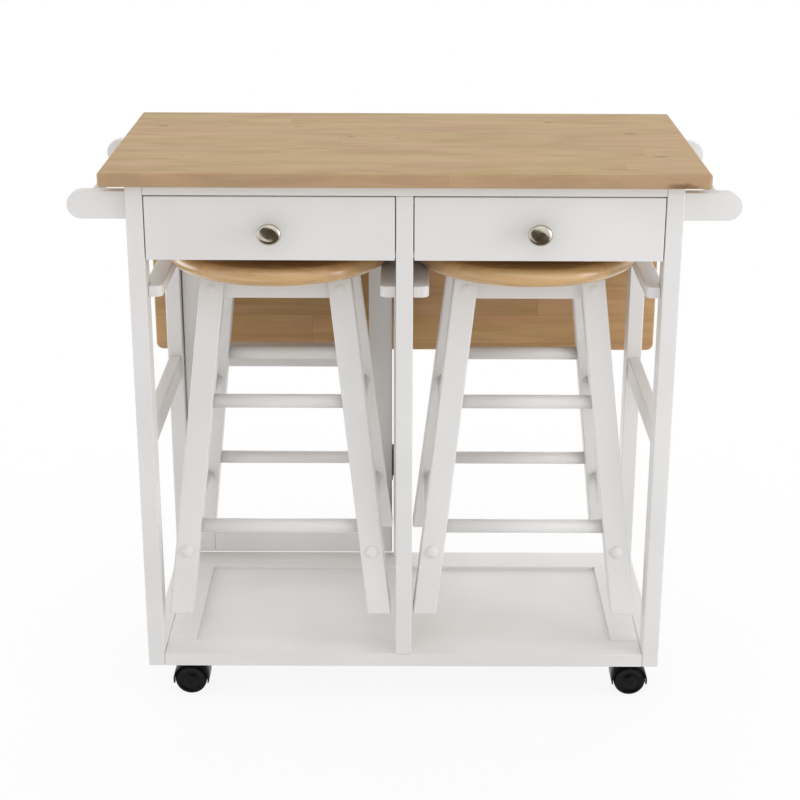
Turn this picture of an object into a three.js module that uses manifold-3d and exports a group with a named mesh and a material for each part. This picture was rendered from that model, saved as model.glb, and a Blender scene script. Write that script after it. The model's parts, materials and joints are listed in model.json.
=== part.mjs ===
// Drop leaf kitchen island on casters, with two drawers, two towel racks, a gate
// that swings out under the leaf, and two stools that hang by their seats.
// Millimetres, X to the right, Y to the back, Z up from the floor.
import * as THREE from 'three';
import { mergeVertices } from 'three/addons/utils/BufferGeometryUtils.js';
import Module from 'manifold-3d';

const wasm = await Module();
wasm.setup();

// ---- driving dimensions -------------------------------------------------

// Clearances
const fitGap = 0.3; // between two pieces that touch
const edgeChamfer = 1.5; // on every painted board

// Frame
const frameWidth = 800; // outer faces of the legs
const frameDepth = 374; // front legs' front faces to rear legs' back faces
const workHeight = 864; // floor to worktop
const floorClearance = 67; // floor to underside of the base
const legWide = 25;
const legDeep = 38;
const frontPostWide = 25;
const rearPostWide = 31; // its right face lines up with the front post's
const topRailHigh = 16.1;

// Worktop and leaf
const topThick = 20;
const topSideOverhang = 35;
const topFrontOverhang = 19;
const topBackOverhang = 42.5;
const topCornerRadius = 5;
const topEdgeRadius = 2.5;
const leafLong = 394; // from the hinged edge to the free edge
const leafSideInset = 3; // shorter than the worktop at each side
const leafCornerRadius = 12;
const leafJointGap = 1.5; // between worktop and raised leaf

// Leaf hinges
const hingeKnuckleRadius = 3.5;
const hingePlateThick = 2;
const hingePlateReach = 30;
const leafHingeLong = 50;
const leafHingeInset = 30; // hinge's middle from the leaf's end, clear of the gate's sweep

// Aprons and drawer runners
const apronThick = 19;
const sideApronInset = 5; // from the legs' outer faces
const backApronHigh = 104;
const backApronThick = 18;
const dividerThick = 24;
const runnerThick = 8;
const runnerWide = 24;

// Drawers
const drawerFrontHigh = 94.5;
const drawerFrontThick = 16;
const drawerReveal = 1.5;
const drawerBoxInset = 4; // box narrower than its front, at each side
const drawerBoxLift = 2; // box underside above the front's lower edge
const drawerBoxHigh = 70;
const drawerBackGap = 17.7; // from the box to the back apron
const drawerWall = 12;
const drawerBottomThick = 5;
const knobRadius = 18;
const knobReach = 27;
const knobFootRadius = 8.5;
const knobNeckRadius = 6.5;
const knobHeadThick = 14;
const knobDrop = 3; // knob's middle below the front's middle
const knobOval = 0.88; // knob's height over its width

// Side rails and base
const midRailThick = 20;
const midRailHigh = 37;
const midRailTop = 463;
const baseThick = 21;
const baseBackInset = 19; // from the rear legs' back faces
const baseFrameWide = 44;
const baseRearWide = 55;
const baseRecess = 5;

// Towel racks
const armReach = 85;
const armHigh = 41;
const armThick = 18;
const armDrop = 12; // arm's top below the worktop's underside
const armSetBack = 8; // arm's front face from the leg's front face
const rodRadius = 8;
const rodFromTip = 30;

// Stool hangers
const hangerThick = 17;
const sideHangerBearing = 13.75; // reaches under the edge of a seat that is centred in its bay
const sideHangerOuter = 6; // goes out past the leg's inner face
const centreHangerBearing = 16.25; // and so does the centre one
const hangerLap = 23; // forward beside the front legs and post
const hangerCornerRadius = 10;

// Gate under the leaf
const gateThick = 22;
const gateBackInset = 1; // from the rear legs' back faces
const gateFreeGap = 2; // between gate and leg
const gateHingeGap = 3; // between gate and post
const gateStileWide = 39;
const gateRailHigh = 37;
const gateFloorGap = 2.2; // above the base
const gateTopGap = 1; // below the worktop
const gateMidRailBottom = 439;
const gateHingeLong = 56;
const gateHingeFromEnd = 166; // hinge's middle from the gate's end
const gatePlateThick = 1.2;

// Stools
const seatThick = 27;
const seatSetBack = 1; // least, behind the legs' front faces
const seatGateGap = 2; // least, before the gate
const seatSideGap = 7.25; // least, from the sides of a bay it is centred in
const stoolShift = { left: 1.75, right: -7.25 }; // from its bay's middle, as hung by hand
const seatHeadroom = 10.3; // seat's top below the drawer runners
const footClearance = 69.3; // feet above the base as the stool hangs
const footInset = 2; // feet in from the seat's edges
const stoolLeg = 36;
const stoolLegChamfer = 3;
const stoolTopSpread = 224; // over the legs, at the seat's underside
const stoolApronHigh = 36;
const stoolApronThick = 14;
const stoolApronInset = 8; // from the legs' outer faces at the top
const rungRadius = 10.5;
const crossRungHeights = { front: [136, 334], rear: [131, 329] }; // above the feet, left to right
const sideRungHeights = [102, 286]; // above the feet, front to back

// Casters
const wheelRadius = 25;
const wheelWide = 17;
const wheelEdgeRadius = 4;
const casterWebThick = 7;
const casterRunGap = 0.6; // between moving pieces of a caster
const axleRadius = 4;
const casterHubRadius = 9;
const hoodClearance = 1.2;
const hoodThick = 2.2;
const hoodDrop = 6; // its skirts end below the axle
const casterTrail = 11; // axle behind the swivel axis
const swivelBossRadius = 11;
const casterFromSide = 50; // swivel axis from the frame's outer faces
const casterFromFront = 48; // and from its front and back

// ---- places worked out from them ----------------------------------------

const halfFrame = frameWidth / 2;
const legInner = halfFrame - legWide;
const underTop = workHeight - topThick;
const rearLegFront = frameDepth - legDeep;
const postHalf = frontPostWide / 2;
const bayMiddle = (legInner + postHalf) / 2;
const betweenLegs = [legDeep + fitGap, rearLegFront - fitGap];
const baseTop = floorClearance + baseThick;
const railUnder = underTop - topRailHigh;

const drawerFrontTop = railUnder - drawerReveal;
const drawerFrontBottom = drawerFrontTop - drawerFrontHigh;
const drawerFrontSpan = [postHalf + drawerReveal, legInner - drawerReveal];
const drawerBoxBottom = drawerFrontBottom + drawerBoxLift;
const runnerTop = drawerBoxBottom - fitGap;
const runnerBottom = runnerTop - runnerThick;
const backApronFront = rearLegFront - fitGap - backApronThick;

const topBack = frameDepth + topBackOverhang;
const topHalf = halfFrame + topSideOverhang;
const leafAxis = {
  y: topBack + leafJointGap / 2,
  z: underTop - fitGap - hingeKnuckleRadius,
};
const leafFace = leafAxis.y + hingeKnuckleRadius + fitGap; // inner face as it hangs
const leafTop = leafAxis.z - leafJointGap / 2;

const rearPostSpan = [postHalf - rearPostWide, postHalf];
const gateSpan = [-legInner + gateFreeGap, rearPostSpan[0] - gateHingeGap];
const gateBack = frameDepth - gateBackInset;
const gateAxis = {
  x: rearPostSpan[0] - gateHingeGap / 2,
  y: gateBack + hingeKnuckleRadius + fitGap,
};
const gateBottom = baseTop + gateFloorGap;
const gateTop = underTop - gateTopGap;

// The seat is the largest circle that fits in the bay's width and depth.
const seatDepth = [seatSetBack, gateBack - gateThick - seatGateGap];
const seatRadius = Math.min(
  (seatDepth[1] - seatDepth[0]) / 2,
  (legInner - postHalf) / 2 - seatSideGap,
);
const seatMiddleY = (seatDepth[0] + seatDepth[1]) / 2;
const seatUnder = runnerBottom - seatHeadroom - seatThick;
const hangerTop = seatUnder - fitGap;
const footHeight = baseTop + footClearance;
const stoolFootSpread = 2 * (seatRadius - footInset);

// ---- materials ------------------------------------------------------------

function finish(color, roughness, metalness = 0) {
  return new THREE.MeshStandardMaterial({ color, roughness, metalness });
}

const paint = finish(0xe9e7e4, 0.45);
const maple = finish(0xcaab80, 0.5);
const seatMaple = finish(0xc49a69, 0.3);
const nickel = finish(0xb5b0a6, 0.3, 1);
const bronze = finish(0x6d5636, 0.4, 1);
const blackNylon = finish(0x17181a, 0.35);

// ---- shape helpers ----------------------------------------------------------

const island = new THREE.Group();

function place(name, geometry, material, parent = island) {
  const mesh = new THREE.Mesh(geometry, material);
  mesh.name = name;
  parent.add(mesh);
  return mesh;
}

// Turns a shape extruded along Z so that it runs along another axis.
function runAlong(geometry, axis) {
  const turns = {
    x: [[0, 1, 0], [0, 0, 1], [1, 0, 0]],
    y: [[0, 0, 1], [1, 0, 0], [0, 1, 0]],
    z: [[1, 0, 0], [0, 1, 0], [0, 0, 1]],
  };
  const [right, up, ahead] = turns[axis].map((v) => new THREE.Vector3(...v));
  return geometry.applyMatrix4(new THREE.Matrix4().makeBasis(right, up, ahead));
}

// A board between two corners, chamfered along its length.
function board([x0, x1], [y0, y1], [z0, z1], along = 'z', chamfer = edgeChamfer) {
  const sections = {
    x: [y0, y1, z0, z1, x0, x1],
    y: [z0, z1, x0, x1, y0, y1],
    z: [x0, x1, y0, y1, z0, z1],
  };
  const [a0, a1, b0, b1, start, end] = sections[along];
  const c = chamfer;
  const shape = new THREE.Shape();
  shape.moveTo(a0 + c, b0);
  shape.lineTo(a1 - c, b0);
  shape.lineTo(a1, b0 + c);
  shape.lineTo(a1, b1 - c);
  shape.lineTo(a1 - c, b1);
  shape.lineTo(a0 + c, b1);
  shape.lineTo(a0, b1 - c);
  shape.lineTo(a0, b0 + c);
  shape.closePath();
  const geometry = new THREE.ExtrudeGeometry(shape, { depth: end - start, bevelEnabled: false });
  geometry.translate(0, 0, start);
  return runAlong(geometry, along);
}

// A plain block, for cuts and for pieces with square edges.
function block([x0, x1], [y0, y1], [z0, z1]) {
  const geometry = new THREE.BoxGeometry(x1 - x0, y1 - y0, z1 - z0);
  return geometry.translate((x0 + x1) / 2, (y0 + y1) / 2, (z0 + z1) / 2);
}

function rod(radius, length, sides, axis) {
  const geometry = new THREE.CylinderGeometry(radius, radius, length, sides);
  if (axis === 'x') geometry.rotateZ(-Math.PI / 2);
  if (axis === 'z') geometry.rotateX(Math.PI / 2);
  return geometry;
}

// A rectangle whose two low and two high corners have their own radii.
function roundedOutline([x0, x1], [y0, y1], lowRadius, highRadius) {
  const shape = new THREE.Shape();
  const quarter = Math.PI / 2;
  shape.absarc(x0 + lowRadius, y0 + lowRadius, lowRadius, 2 * quarter, 3 * quarter);
  shape.absarc(x1 - lowRadius, y0 + lowRadius, lowRadius, 3 * quarter, 4 * quarter);
  shape.absarc(x1 - highRadius, y1 - highRadius, highRadius, 0, quarter);
  shape.absarc(x0 + highRadius, y1 - highRadius, highRadius, quarter, 2 * quarter);
  shape.closePath();
  return shape;
}

// A slab of one thickness with its edges eased all round.
function easedSlab(shape, thick, edge, curveSegments) {
  const geometry = new THREE.ExtrudeGeometry(shape, {
    depth: thick - 2 * edge,
    bevelThickness: edge,
    bevelSize: edge,
    bevelOffset: -edge,
    bevelSegments: 2,
    curveSegments,
  });
  return geometry.translate(0, 0, edge);
}

function solid(geometry) {
  const bare = geometry.clone();
  bare.deleteAttribute('normal');
  bare.deleteAttribute('uv');
  const merged = mergeVertices(bare);
  return new wasm.Manifold(new wasm.Mesh({
    numProp: 3,
    vertProperties: new Float32Array(merged.attributes.position.array),
    triVerts: new Uint32Array(merged.index.array),
  }));
}

function geometryOf(body) {
  const mesh = body.getMesh();
  const geometry = new THREE.BufferGeometry();
  geometry.setAttribute('position', new THREE.BufferAttribute(mesh.vertProperties, 3));
  geometry.setIndex(new THREE.BufferAttribute(mesh.triVerts, 1));
  geometry.computeVertexNormals();
  return geometry;
}

// Joins all the geometries given.
function joined(...geometries) {
  return geometries.map(solid).reduce((whole, piece) => whole.add(piece));
}

function span(middle, size) {
  return [middle - size / 2, middle + size / 2];
}

// The same stretch of X on the left or on the right.
function onSide(side, [near, far]) {
  return side > 0 ? [near, far] : [-far, -near];
}

const sides = [['left', -1], ['right', 1]];

// ---- frame ------------------------------------------------------------------

function addLegs() {
  const depths = { front: [0, legDeep], rear: [rearLegFront, frameDepth] };
  for (const [sideName, side] of sides) {
    for (const [end, depth] of Object.entries(depths)) {
      const across = onSide(side, [legInner, halfFrame]);
      const height = [floorClearance, underTop - fitGap];
      place(`leg_${end}_${sideName}`, board(across, depth, height), paint);
    }
  }
}

function addPostsAndTopRail() {
  const betweenInnerFaces = [-legInner + fitGap, legInner - fitGap];
  const frontHeight = [baseTop + fitGap, railUnder - fitGap];
  const rearHeight = [baseTop + fitGap, underTop - fitGap];
  place('front_center_post', board([-postHalf, postHalf], [0, legDeep], frontHeight), paint);
  place('rear_center_post', board(rearPostSpan, [rearLegFront, frameDepth], rearHeight), paint);
  const railHeight = [railUnder, underTop - fitGap];
  place('front_top_rail', board(betweenInnerFaces, [0, legDeep], railHeight, 'x'), paint);
}

function addAprons() {
  const apronOuter = halfFrame - sideApronInset;
  const apronInner = apronOuter - apronThick;
  const apronHeight = [runnerBottom, underTop - fitGap];
  for (const [sideName, side] of sides) {
    const web = block(onSide(side, [apronInner, apronOuter]), betweenLegs, apronHeight);
    const ledge = block(
      onSide(side, [apronInner - runnerWide, apronOuter]),
      betweenLegs,
      [runnerBottom, runnerTop],
    );
    place(`side_apron_${sideName}`, geometryOf(joined(web, ledge)), paint);
  }
  const backHalf = apronInner - fitGap;
  const backHeight = [underTop - fitGap - backApronHigh, underTop - fitGap];
  const backDepth = [backApronFront, rearLegFront - fitGap];
  const notchDepth = [backApronFront - fitGap, rearLegFront];
  const backBoard = solid(board([-backHalf, backHalf], backDepth, backHeight, 'x'));
  const runnerNotches = sides.map(([, side]) => solid(block(
    onSide(side, [apronInner - runnerWide - fitGap, apronOuter]),
    notchDepth,
    [runnerBottom - fitGap, runnerTop + fitGap],
  )));
  const notched = runnerNotches.reduce((rest, notch) => rest.subtract(notch), backBoard);
  place('back_apron', geometryOf(notched), paint);
}

function addDrawerDivider() {
  const depth = [legDeep + fitGap, backApronFront - fitGap];
  const web = block(span(0, dividerThick), depth, [runnerBottom, railUnder]);
  const flange = block(span(0, dividerThick + 2 * runnerWide), depth, [runnerBottom, runnerTop]);
  place('drawer_divider', geometryOf(joined(web, flange)), paint);
}

function addSideRails() {
  for (const [sideName, side] of sides) {
    const midAcross = span(side * (halfFrame - legWide / 2), midRailThick);
    const midHeight = [midRailTop - midRailHigh, midRailTop];
    place(`side_mid_rail_${sideName}`, board(midAcross, betweenLegs, midHeight, 'y'), paint);
    const bottomHeight = [floorClearance, baseTop];
    const across = onSide(side, [legInner, halfFrame]);
    place(`side_bottom_rail_${sideName}`, board(across, betweenLegs, bottomHeight, 'y'), paint);
  }
}

function addBase() {
  const half = legInner - fitGap;
  const back = frameDepth - baseBackInset;
  const slab = solid(board([-half, half], [0, back], [floorClearance, baseTop], 'x'));
  const recess = solid(block(
    [-half + baseFrameWide, half - baseFrameWide],
    [baseFrameWide, back - baseRearWide],
    [baseTop - baseRecess, baseTop + baseRecess],
  ));
  place('base_shelf', geometryOf(slab.subtract(recess)), paint);
}

// Boards from front to back, notched round the front legs and round the front post.
function addHangers() {
  const r = hangerCornerRadius;
  const [notchEnd, back] = betweenLegs;
  const front = legDeep - hangerLap;
  const boardOf = (outline) => {
    const options = { depth: hangerThick, bevelEnabled: false, curveSegments: 5 };
    return new THREE.ExtrudeGeometry(outline, options).translate(0, 0, hangerTop - hangerThick);
  };
  for (const [sideName, side] of sides) {
    const fixed = side * (legInner + sideHangerOuter);
    const besideLeg = side * (legInner - fitGap);
    const free = side * (bayMiddle + seatRadius - sideHangerBearing);
    const outline = new THREE.Shape();
    outline.moveTo(fixed, notchEnd);
    outline.lineTo(besideLeg, notchEnd);
    outline.lineTo(besideLeg, front);
    outline.lineTo(free + side * r, front);
    outline.quadraticCurveTo(free, front, free, front + r);
    outline.lineTo(free, back);
    outline.lineTo(fixed, back);
    outline.closePath();
    place(`stool_hanger_${sideName}`, boardOf(outline), paint);
  }
  const centreHalf = bayMiddle - seatRadius + centreHangerBearing;
  const whole = roundedOutline([-centreHalf, centreHalf], [front, back], r, edgeChamfer);
  const notch = solid(block(
    span(0, frontPostWide + 2 * fitGap),
    [0, notchEnd],
    [hangerTop - 2 * hangerThick, hangerTop + hangerThick],
  ));
  const centre = solid(boardOf(whole)).subtract(notch);
  place('stool_hanger_center', geometryOf(centre), paint);
}

function addTowelRacks() {
  const armTop = underTop - armDrop;
  const armMiddle = armTop - armHigh / 2;
  const start = halfFrame + fitGap;
  const tip = halfFrame + armReach;
  const frontArm = [armSetBack, armSetBack + armThick];
  const rearArm = [rearLegFront + armSetBack, rearLegFront + armSetBack + armThick];
  for (const [sideName, side] of sides) {
    const outline = new THREE.Shape();
    const r = armHigh / 2;
    outline.moveTo(armTop, start);
    outline.lineTo(armTop, tip - r);
    outline.absarc(armMiddle, tip - r, r, 0, Math.PI);
    outline.lineTo(armTop - armHigh, start);
    outline.closePath();
    const arms = [frontArm, rearArm].map(([near, far]) => {
      const arm = new THREE.ExtrudeGeometry(outline, {
        depth: far - near,
        bevelEnabled: false,
        curveSegments: 10,
      });
      arm.translate(0, 0, near);
      runAlong(arm, 'y');
      return side > 0 ? arm : arm.rotateZ(Math.PI).translate(0, near + far, 0);
    });
    const rail = rod(rodRadius, rearArm[0] - frontArm[1] + armThick, 14, 'y');
    rail.translate(side * (tip - rodFromTip), (frontArm[1] + rearArm[0]) / 2, armMiddle);
    place(`towel_rack_${sideName}`, geometryOf(joined(...arms, rail)), paint);
  }
}

function addWorktop() {
  const depth = [-topFrontOverhang, topBack];
  const outline = roundedOutline([-topHalf, topHalf], depth, topCornerRadius, topCornerRadius);
  const slab = easedSlab(outline, topThick, topEdgeRadius, 4);
  place('worktop', slab.translate(0, 0, underTop), maple);
}

// ---- leaf -------------------------------------------------------------------

function addLeaf() {
  const half = topHalf - leafSideInset;
  // the shape's X is the leaf's height as it hangs, and its Y is the leaf's width
  const outline = new THREE.Shape();
  const quarter = Math.PI / 2;
  const low = leafTop - leafLong;
  const r = leafCornerRadius;
  const s = topCornerRadius;
  outline.absarc(low + r, -half + r, r, 2 * quarter, 3 * quarter);
  outline.absarc(leafTop - s, -half + s, s, 3 * quarter, 4 * quarter);
  outline.absarc(leafTop - s, half - s, s, 0, quarter);
  outline.absarc(low + r, half - r, r, quarter, 2 * quarter);
  outline.closePath();
  const slab = runAlong(easedSlab(outline, topThick, topEdgeRadius, 6), 'y');
  place('leaf', slab.translate(0, leafFace, 0), maple);
}

function knuckle(across, axis) {
  const geometry = rod(hingeKnuckleRadius, across[1] - across[0], 12, 'x');
  return geometry.translate((across[0] + across[1]) / 2, axis.y, axis.z);
}

function addLeafHinges() {
  const third = leafHingeLong / 3;
  for (const [sideName, side] of sides) {
    const middle = side * (topHalf - leafSideInset - leafHingeInset);
    const whole = span(middle, leafHingeLong);
    const plateTop = underTop - fitGap;
    const fixedPlate = block(
      whole,
      [leafAxis.y - hingePlateReach, leafAxis.y],
      [plateTop - hingePlateThick, plateTop],
    );
    const slot = block(
      span(middle, third + 2 * fitGap),
      span(leafAxis.y, 2 * (hingeKnuckleRadius + fitGap)),
      span(leafAxis.z, 2 * (hingeKnuckleRadius + fitGap)),
    );
    const fixed = joined(fixedPlate, knuckle(whole, leafAxis)).subtract(solid(slot));
    place(`leaf_hinge_fixed_${sideName}`, geometryOf(fixed), bronze);

    const plateFace = leafFace - fitGap;
    const movingPlate = block(
      whole,
      [plateFace - hingePlateThick, plateFace],
      [leafAxis.z - hingePlateReach, leafAxis.z - hingeKnuckleRadius - fitGap],
    );
    const neck = block(
      span(middle, third),
      [plateFace - hingePlateThick, plateFace],
      [leafAxis.z - hingePlateReach, leafAxis.z],
    );
    const moving = joined(movingPlate, neck, knuckle(span(middle, third), leafAxis));
    place(`leaf_hinge_moving_${sideName}`, geometryOf(moving), bronze);
  }
}

// ---- gate -------------------------------------------------------------------

function addGate() {
  const [left, right] = gateSpan;
  const depth = [gateBack - gateThick, gateBack];
  const openings = [
    [gateBottom + gateRailHigh, gateMidRailBottom],
    [gateMidRailBottom + gateRailHigh, gateTop - gateRailHigh],
  ];
  const whole = solid(board([left, right], depth, [gateBottom, gateTop]));
  const openWidth = [left + gateStileWide, right - gateStileWide];
  const frame = openings
    .map((height) => solid(block(openWidth, [0, 2 * frameDepth], height)))
    .reduce((rest, opening) => rest.subtract(opening), whole);
  place('gate_frame', geometryOf(frame), paint);

  const hingeMiddles = { lower: gateBottom + gateHingeFromEnd, upper: gateTop - gateHingeFromEnd };
  for (const [level, middle] of Object.entries(hingeMiddles)) {
    const height = span(middle, gateHingeLong);
    const plate = block(
      [right + fitGap, right + fitGap + gatePlateThick],
      [gateBack - gateThick + edgeChamfer, gateAxis.y],
      height,
    );
    const barrel = rod(hingeKnuckleRadius, gateHingeLong, 12, 'z');
    barrel.translate(gateAxis.x, gateAxis.y, middle);
    place(`gate_hinge_${level}`, geometryOf(joined(plate, barrel)), bronze);
  }
}

// ---- drawers ----------------------------------------------------------------

// From the foot at the drawer front to the middle of the domed face.
function knobProfile() {
  const shoulder = knobReach - knobHeadThick;
  const neck = [
    [0, 0],
    [knobFootRadius, 0],
    [knobNeckRadius, knobFootRadius - knobNeckRadius],
    [knobNeckRadius, shoulder],
  ];
  // shares of the knob's radius and of its head's thickness
  const head = [[0.82, 0.11], [1, 0.43], [0.95, 0.64], [0.7, 0.86], [0.35, 0.97], [0, 1]];
  const domed = head.map(([r, h]) => [r * knobRadius, shoulder + h * knobHeadThick]);
  return [...neck, ...domed].map(([r, h]) => new THREE.Vector2(r, h));
}

function addDrawers() {
  for (const [sideName, side] of sides) {
    const frontAcross = onSide(side, drawerFrontSpan);
    const frontHeight = [drawerFrontBottom, drawerFrontTop];
    const frontBoard = board(frontAcross, [0, drawerFrontThick], frontHeight, 'x');
    place(`drawer_front_${sideName}`, frontBoard, paint);

    const boxSpan = [drawerFrontSpan[0] + drawerBoxInset, drawerFrontSpan[1] - drawerBoxInset];
    const boxDepth = [drawerFrontThick + fitGap, backApronFront - drawerBackGap];
    const boxHeight = [drawerBoxBottom, drawerBoxBottom + drawerBoxHigh];
    const outer = block(onSide(side, boxSpan), boxDepth, boxHeight);
    const inner = block(
      onSide(side, [boxSpan[0] + drawerWall, boxSpan[1] - drawerWall]),
      [boxDepth[0] + drawerWall, boxDepth[1] - drawerWall],
      [drawerBoxBottom + drawerBottomThick, drawerBoxBottom + 2 * drawerBoxHigh],
    );
    place(`drawer_box_${sideName}`, geometryOf(solid(outer).subtract(solid(inner))), maple);

    const knob = new THREE.LatheGeometry(knobProfile(), 24).rotateX(Math.PI).scale(1, 1, knobOval);
    const knobHeight = (drawerFrontBottom + drawerFrontTop) / 2 - knobDrop;
    place(`drawer_knob_${sideName}`, knob.translate(side * bayMiddle, -fitGap, knobHeight), nickel);
  }
}

// ---- stools -----------------------------------------------------------------

// Distance of a leg's middle from the stool's middle, at a height above the floor.
function legOffset(height) {
  const down = (seatUnder - height) / (seatUnder - footHeight);
  const spread = stoolTopSpread + (stoolFootSpread - stoolTopSpread) * down;
  return (spread - stoolLeg) / 2;
}

// Moves every point of a geometry sideways with the splay of one leg.
function splay(geometry, sideX, sideY) {
  const points = geometry.attributes.position;
  for (let i = 0; i < points.count; i += 1) {
    const offset = legOffset(points.getZ(i));
    points.setX(i, points.getX(i) + sideX * offset);
    points.setY(i, points.getY(i) + sideY * offset);
  }
  geometry.computeVertexNormals();
  return geometry;
}

function stoolLegAt(sideX, sideY) {
  const square = span(0, stoolLeg);
  const height = [footHeight, seatUnder - fitGap];
  return splay(board(square, square, height, 'z', stoolLegChamfer), sideX, sideY);
}

// A rung from front leg to rear leg, its ends cut to the legs' slope.
function sideRung(sideX, height) {
  const geometry = rod(rungRadius, 2, 12, 'y');
  geometry.translate(0, 0, height);
  const points = geometry.attributes.position;
  for (let i = 0; i < points.count; i += 1) {
    const end = Math.sign(points.getY(i));
    const reach = legOffset(points.getZ(i)) - stoolLeg / 2 - fitGap;
    points.setY(i, end * reach);
    points.setX(i, points.getX(i) + sideX * legOffset(height));
  }
  geometry.computeVertexNormals();
  return geometry;
}

function seatProfile() {
  const r = seatThick / 2;
  const profile = [new THREE.Vector2(0, 0)];
  for (let i = 0; i <= 8; i += 1) {
    const angle = -Math.PI / 2 + (Math.PI * i) / 8;
    profile.push(new THREE.Vector2(seatRadius - r + r * Math.cos(angle), r + r * Math.sin(angle)));
  }
  profile.push(new THREE.Vector2(0, seatThick));
  return profile;
}

function addStool(sideName, side) {
  const stool = new THREE.Group();
  stool.position.set(side * bayMiddle + stoolShift[sideName], seatMiddleY, 0);
  island.add(stool);
  const prefix = `stool_${sideName}`;

  const seat = new THREE.LatheGeometry(seatProfile(), 44).rotateX(Math.PI / 2);
  place(`${prefix}_seat`, seat.translate(0, 0, seatUnder), seatMaple, stool);

  const apronOuter = stoolTopSpread - 2 * stoolApronInset;
  const apronInner = apronOuter - 2 * stoolApronThick;
  const apronTop = seatUnder - fitGap;
  const apronHeight = [apronTop - stoolApronHigh, apronTop];
  const ring = (grow) => {
    const height = [apronHeight[0] - grow, apronHeight[1] + 2 * grow];
    const outer = span(0, apronOuter + 2 * grow);
    const inner = span(0, apronInner - 2 * grow);
    const through = [height[0] - stoolApronHigh, height[1] + stoolApronHigh];
    return solid(block(outer, outer, height)).subtract(solid(block(inner, inner, through)));
  };
  place(`${prefix}_apron`, geometryOf(ring(0)), paint, stool);

  for (const [end, sideY] of [['front', -1], ['rear', 1]]) {
    const pieces = [stoolLegAt(-1, sideY), stoolLegAt(1, sideY)];
    for (const rise of crossRungHeights[end]) {
      const height = footHeight + rise;
      const rung = rod(rungRadius, 2 * legOffset(height), 12, 'x');
      pieces.push(rung.translate(0, sideY * legOffset(height), height));
    }
    const frame = joined(...pieces).subtract(ring(fitGap));
    place(`${prefix}_legs_${end}`, geometryOf(frame), paint, stool);
  }

  for (const [rungSide, sideX] of sides) {
    for (const [level, rise] of [['lower', sideRungHeights[0]], ['upper', sideRungHeights[1]]]) {
      const rung = sideRung(sideX, footHeight + rise);
      place(`${prefix}_rung_${level}_${rungSide}`, rung, paint, stool);
    }
  }
}

// ---- casters ----------------------------------------------------------------

function wheelProfile() {
  const inner = casterWebThick / 2 + casterRunGap;
  const outer = inner + wheelWide;
  const r = wheelRadius;
  const e = wheelEdgeRadius;
  const corner = e * (1 - Math.SQRT1_2); // how far the rounding's middle stands in
  const half = [
    [axleRadius, inner],
    [r - e, inner],
    [r - corner, inner + corner],
    [r, inner + e],
    [r, outer - e],
    [r - corner, outer - corner],
    [r - e, outer],
    [0, outer],
  ];
  const mirrored = half.map(([radius, reach]) => [radius, -reach]).reverse();
  return [...mirrored, ...half].map(([radius, reach]) => new THREE.Vector2(radius, reach));
}

function casterHousing() {
  const pocketRadius = wheelRadius + hoodClearance;
  const hoodRadius = pocketRadius + hoodThick;
  const width = casterWebThick + 2 * (casterRunGap + wheelWide);
  const hood = solid(rod(hoodRadius, width, 32, 'y'));
  const aside = [-2 * hoodRadius, 2 * hoodRadius];
  const below = solid(block(aside, [-width, width], [-2 * hoodRadius, -hoodDrop]));
  const hub = solid(rod(casterHubRadius, casterWebThick, 20, 'y'));
  const bossTop = floorClearance - fitGap - wheelRadius;
  const boss = rod(swivelBossRadius, bossTop, 20, 'z').translate(-casterTrail, 0, bossTop / 2);
  const pocket = (side) => {
    const reach = width;
    const geometry = rod(pocketRadius, reach, 32, 'y');
    return solid(geometry.translate(0, side * (casterWebThick / 2 + reach / 2), 0));
  };
  const axleHole = solid(rod(axleRadius + casterRunGap, 2 * width, 20, 'y'));
  return hood
    .subtract(below)
    .add(hub)
    .add(solid(boss))
    .subtract(pocket(-1))
    .subtract(pocket(1))
    .subtract(axleHole);
}

function addCasters() {
  const depths = { front: casterFromFront, rear: frameDepth - casterFromFront };
  for (const [sideName, side] of sides) {
    for (const [end, depth] of Object.entries(depths)) {
      const caster = new THREE.Group();
      caster.position.set(side * (halfFrame - casterFromSide) + casterTrail, depth, wheelRadius);
      island.add(caster);
      place(`caster_housing_${end}_${sideName}`, geometryOf(casterHousing()), blackNylon, caster);
      const wheels = new THREE.LatheGeometry(wheelProfile(), 24);
      place(`caster_wheels_${end}_${sideName}`, wheels, blackNylon, caster);
    }
  }
}

// ---- assembly ---------------------------------------------------------------

addWorktop();
addLegs();
addPostsAndTopRail();
addAprons();
addDrawerDivider();
addSideRails();
addBase();
addHangers();
addTowelRacks();
addLeaf();
addLeafHinges();
addGate();
addDrawers();
for (const [sideName, side] of sides) addStool(sideName, side);
addCasters();

// The origin is on the floor, at the middle of the object's width and depth.
const bounds = new THREE.Box3().setFromObject(island);
island.position.y = -(bounds.min.y + bounds.max.y) / 2;

export default island;
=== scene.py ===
"""Looks for a drop leaf kitchen island with two stowed stools, built round its CAD frame."""

import json
import math

import bmesh
import bpy
from bpy.props import FloatProperty, FloatVectorProperty, IntProperty, PointerProperty
from mathutils import Matrix, Vector


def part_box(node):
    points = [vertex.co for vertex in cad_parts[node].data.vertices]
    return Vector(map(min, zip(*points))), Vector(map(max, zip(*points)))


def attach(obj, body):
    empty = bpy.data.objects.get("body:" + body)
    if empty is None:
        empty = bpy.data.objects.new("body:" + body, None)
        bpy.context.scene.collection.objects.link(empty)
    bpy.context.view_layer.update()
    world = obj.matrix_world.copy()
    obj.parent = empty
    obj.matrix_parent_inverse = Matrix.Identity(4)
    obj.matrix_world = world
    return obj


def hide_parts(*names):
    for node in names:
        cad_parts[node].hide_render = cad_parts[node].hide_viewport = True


bl_info = {
    "name": "Drop leaf kitchen island",
    "version": (1, 0, 0),
    "blender": (4, 5, 0),
    "location": "3D View > Sidebar > Island",
    "description": "Builds a rolling drop leaf kitchen island with drawers, racks and two stools",
    "category": "Add Mesh",
}

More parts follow.
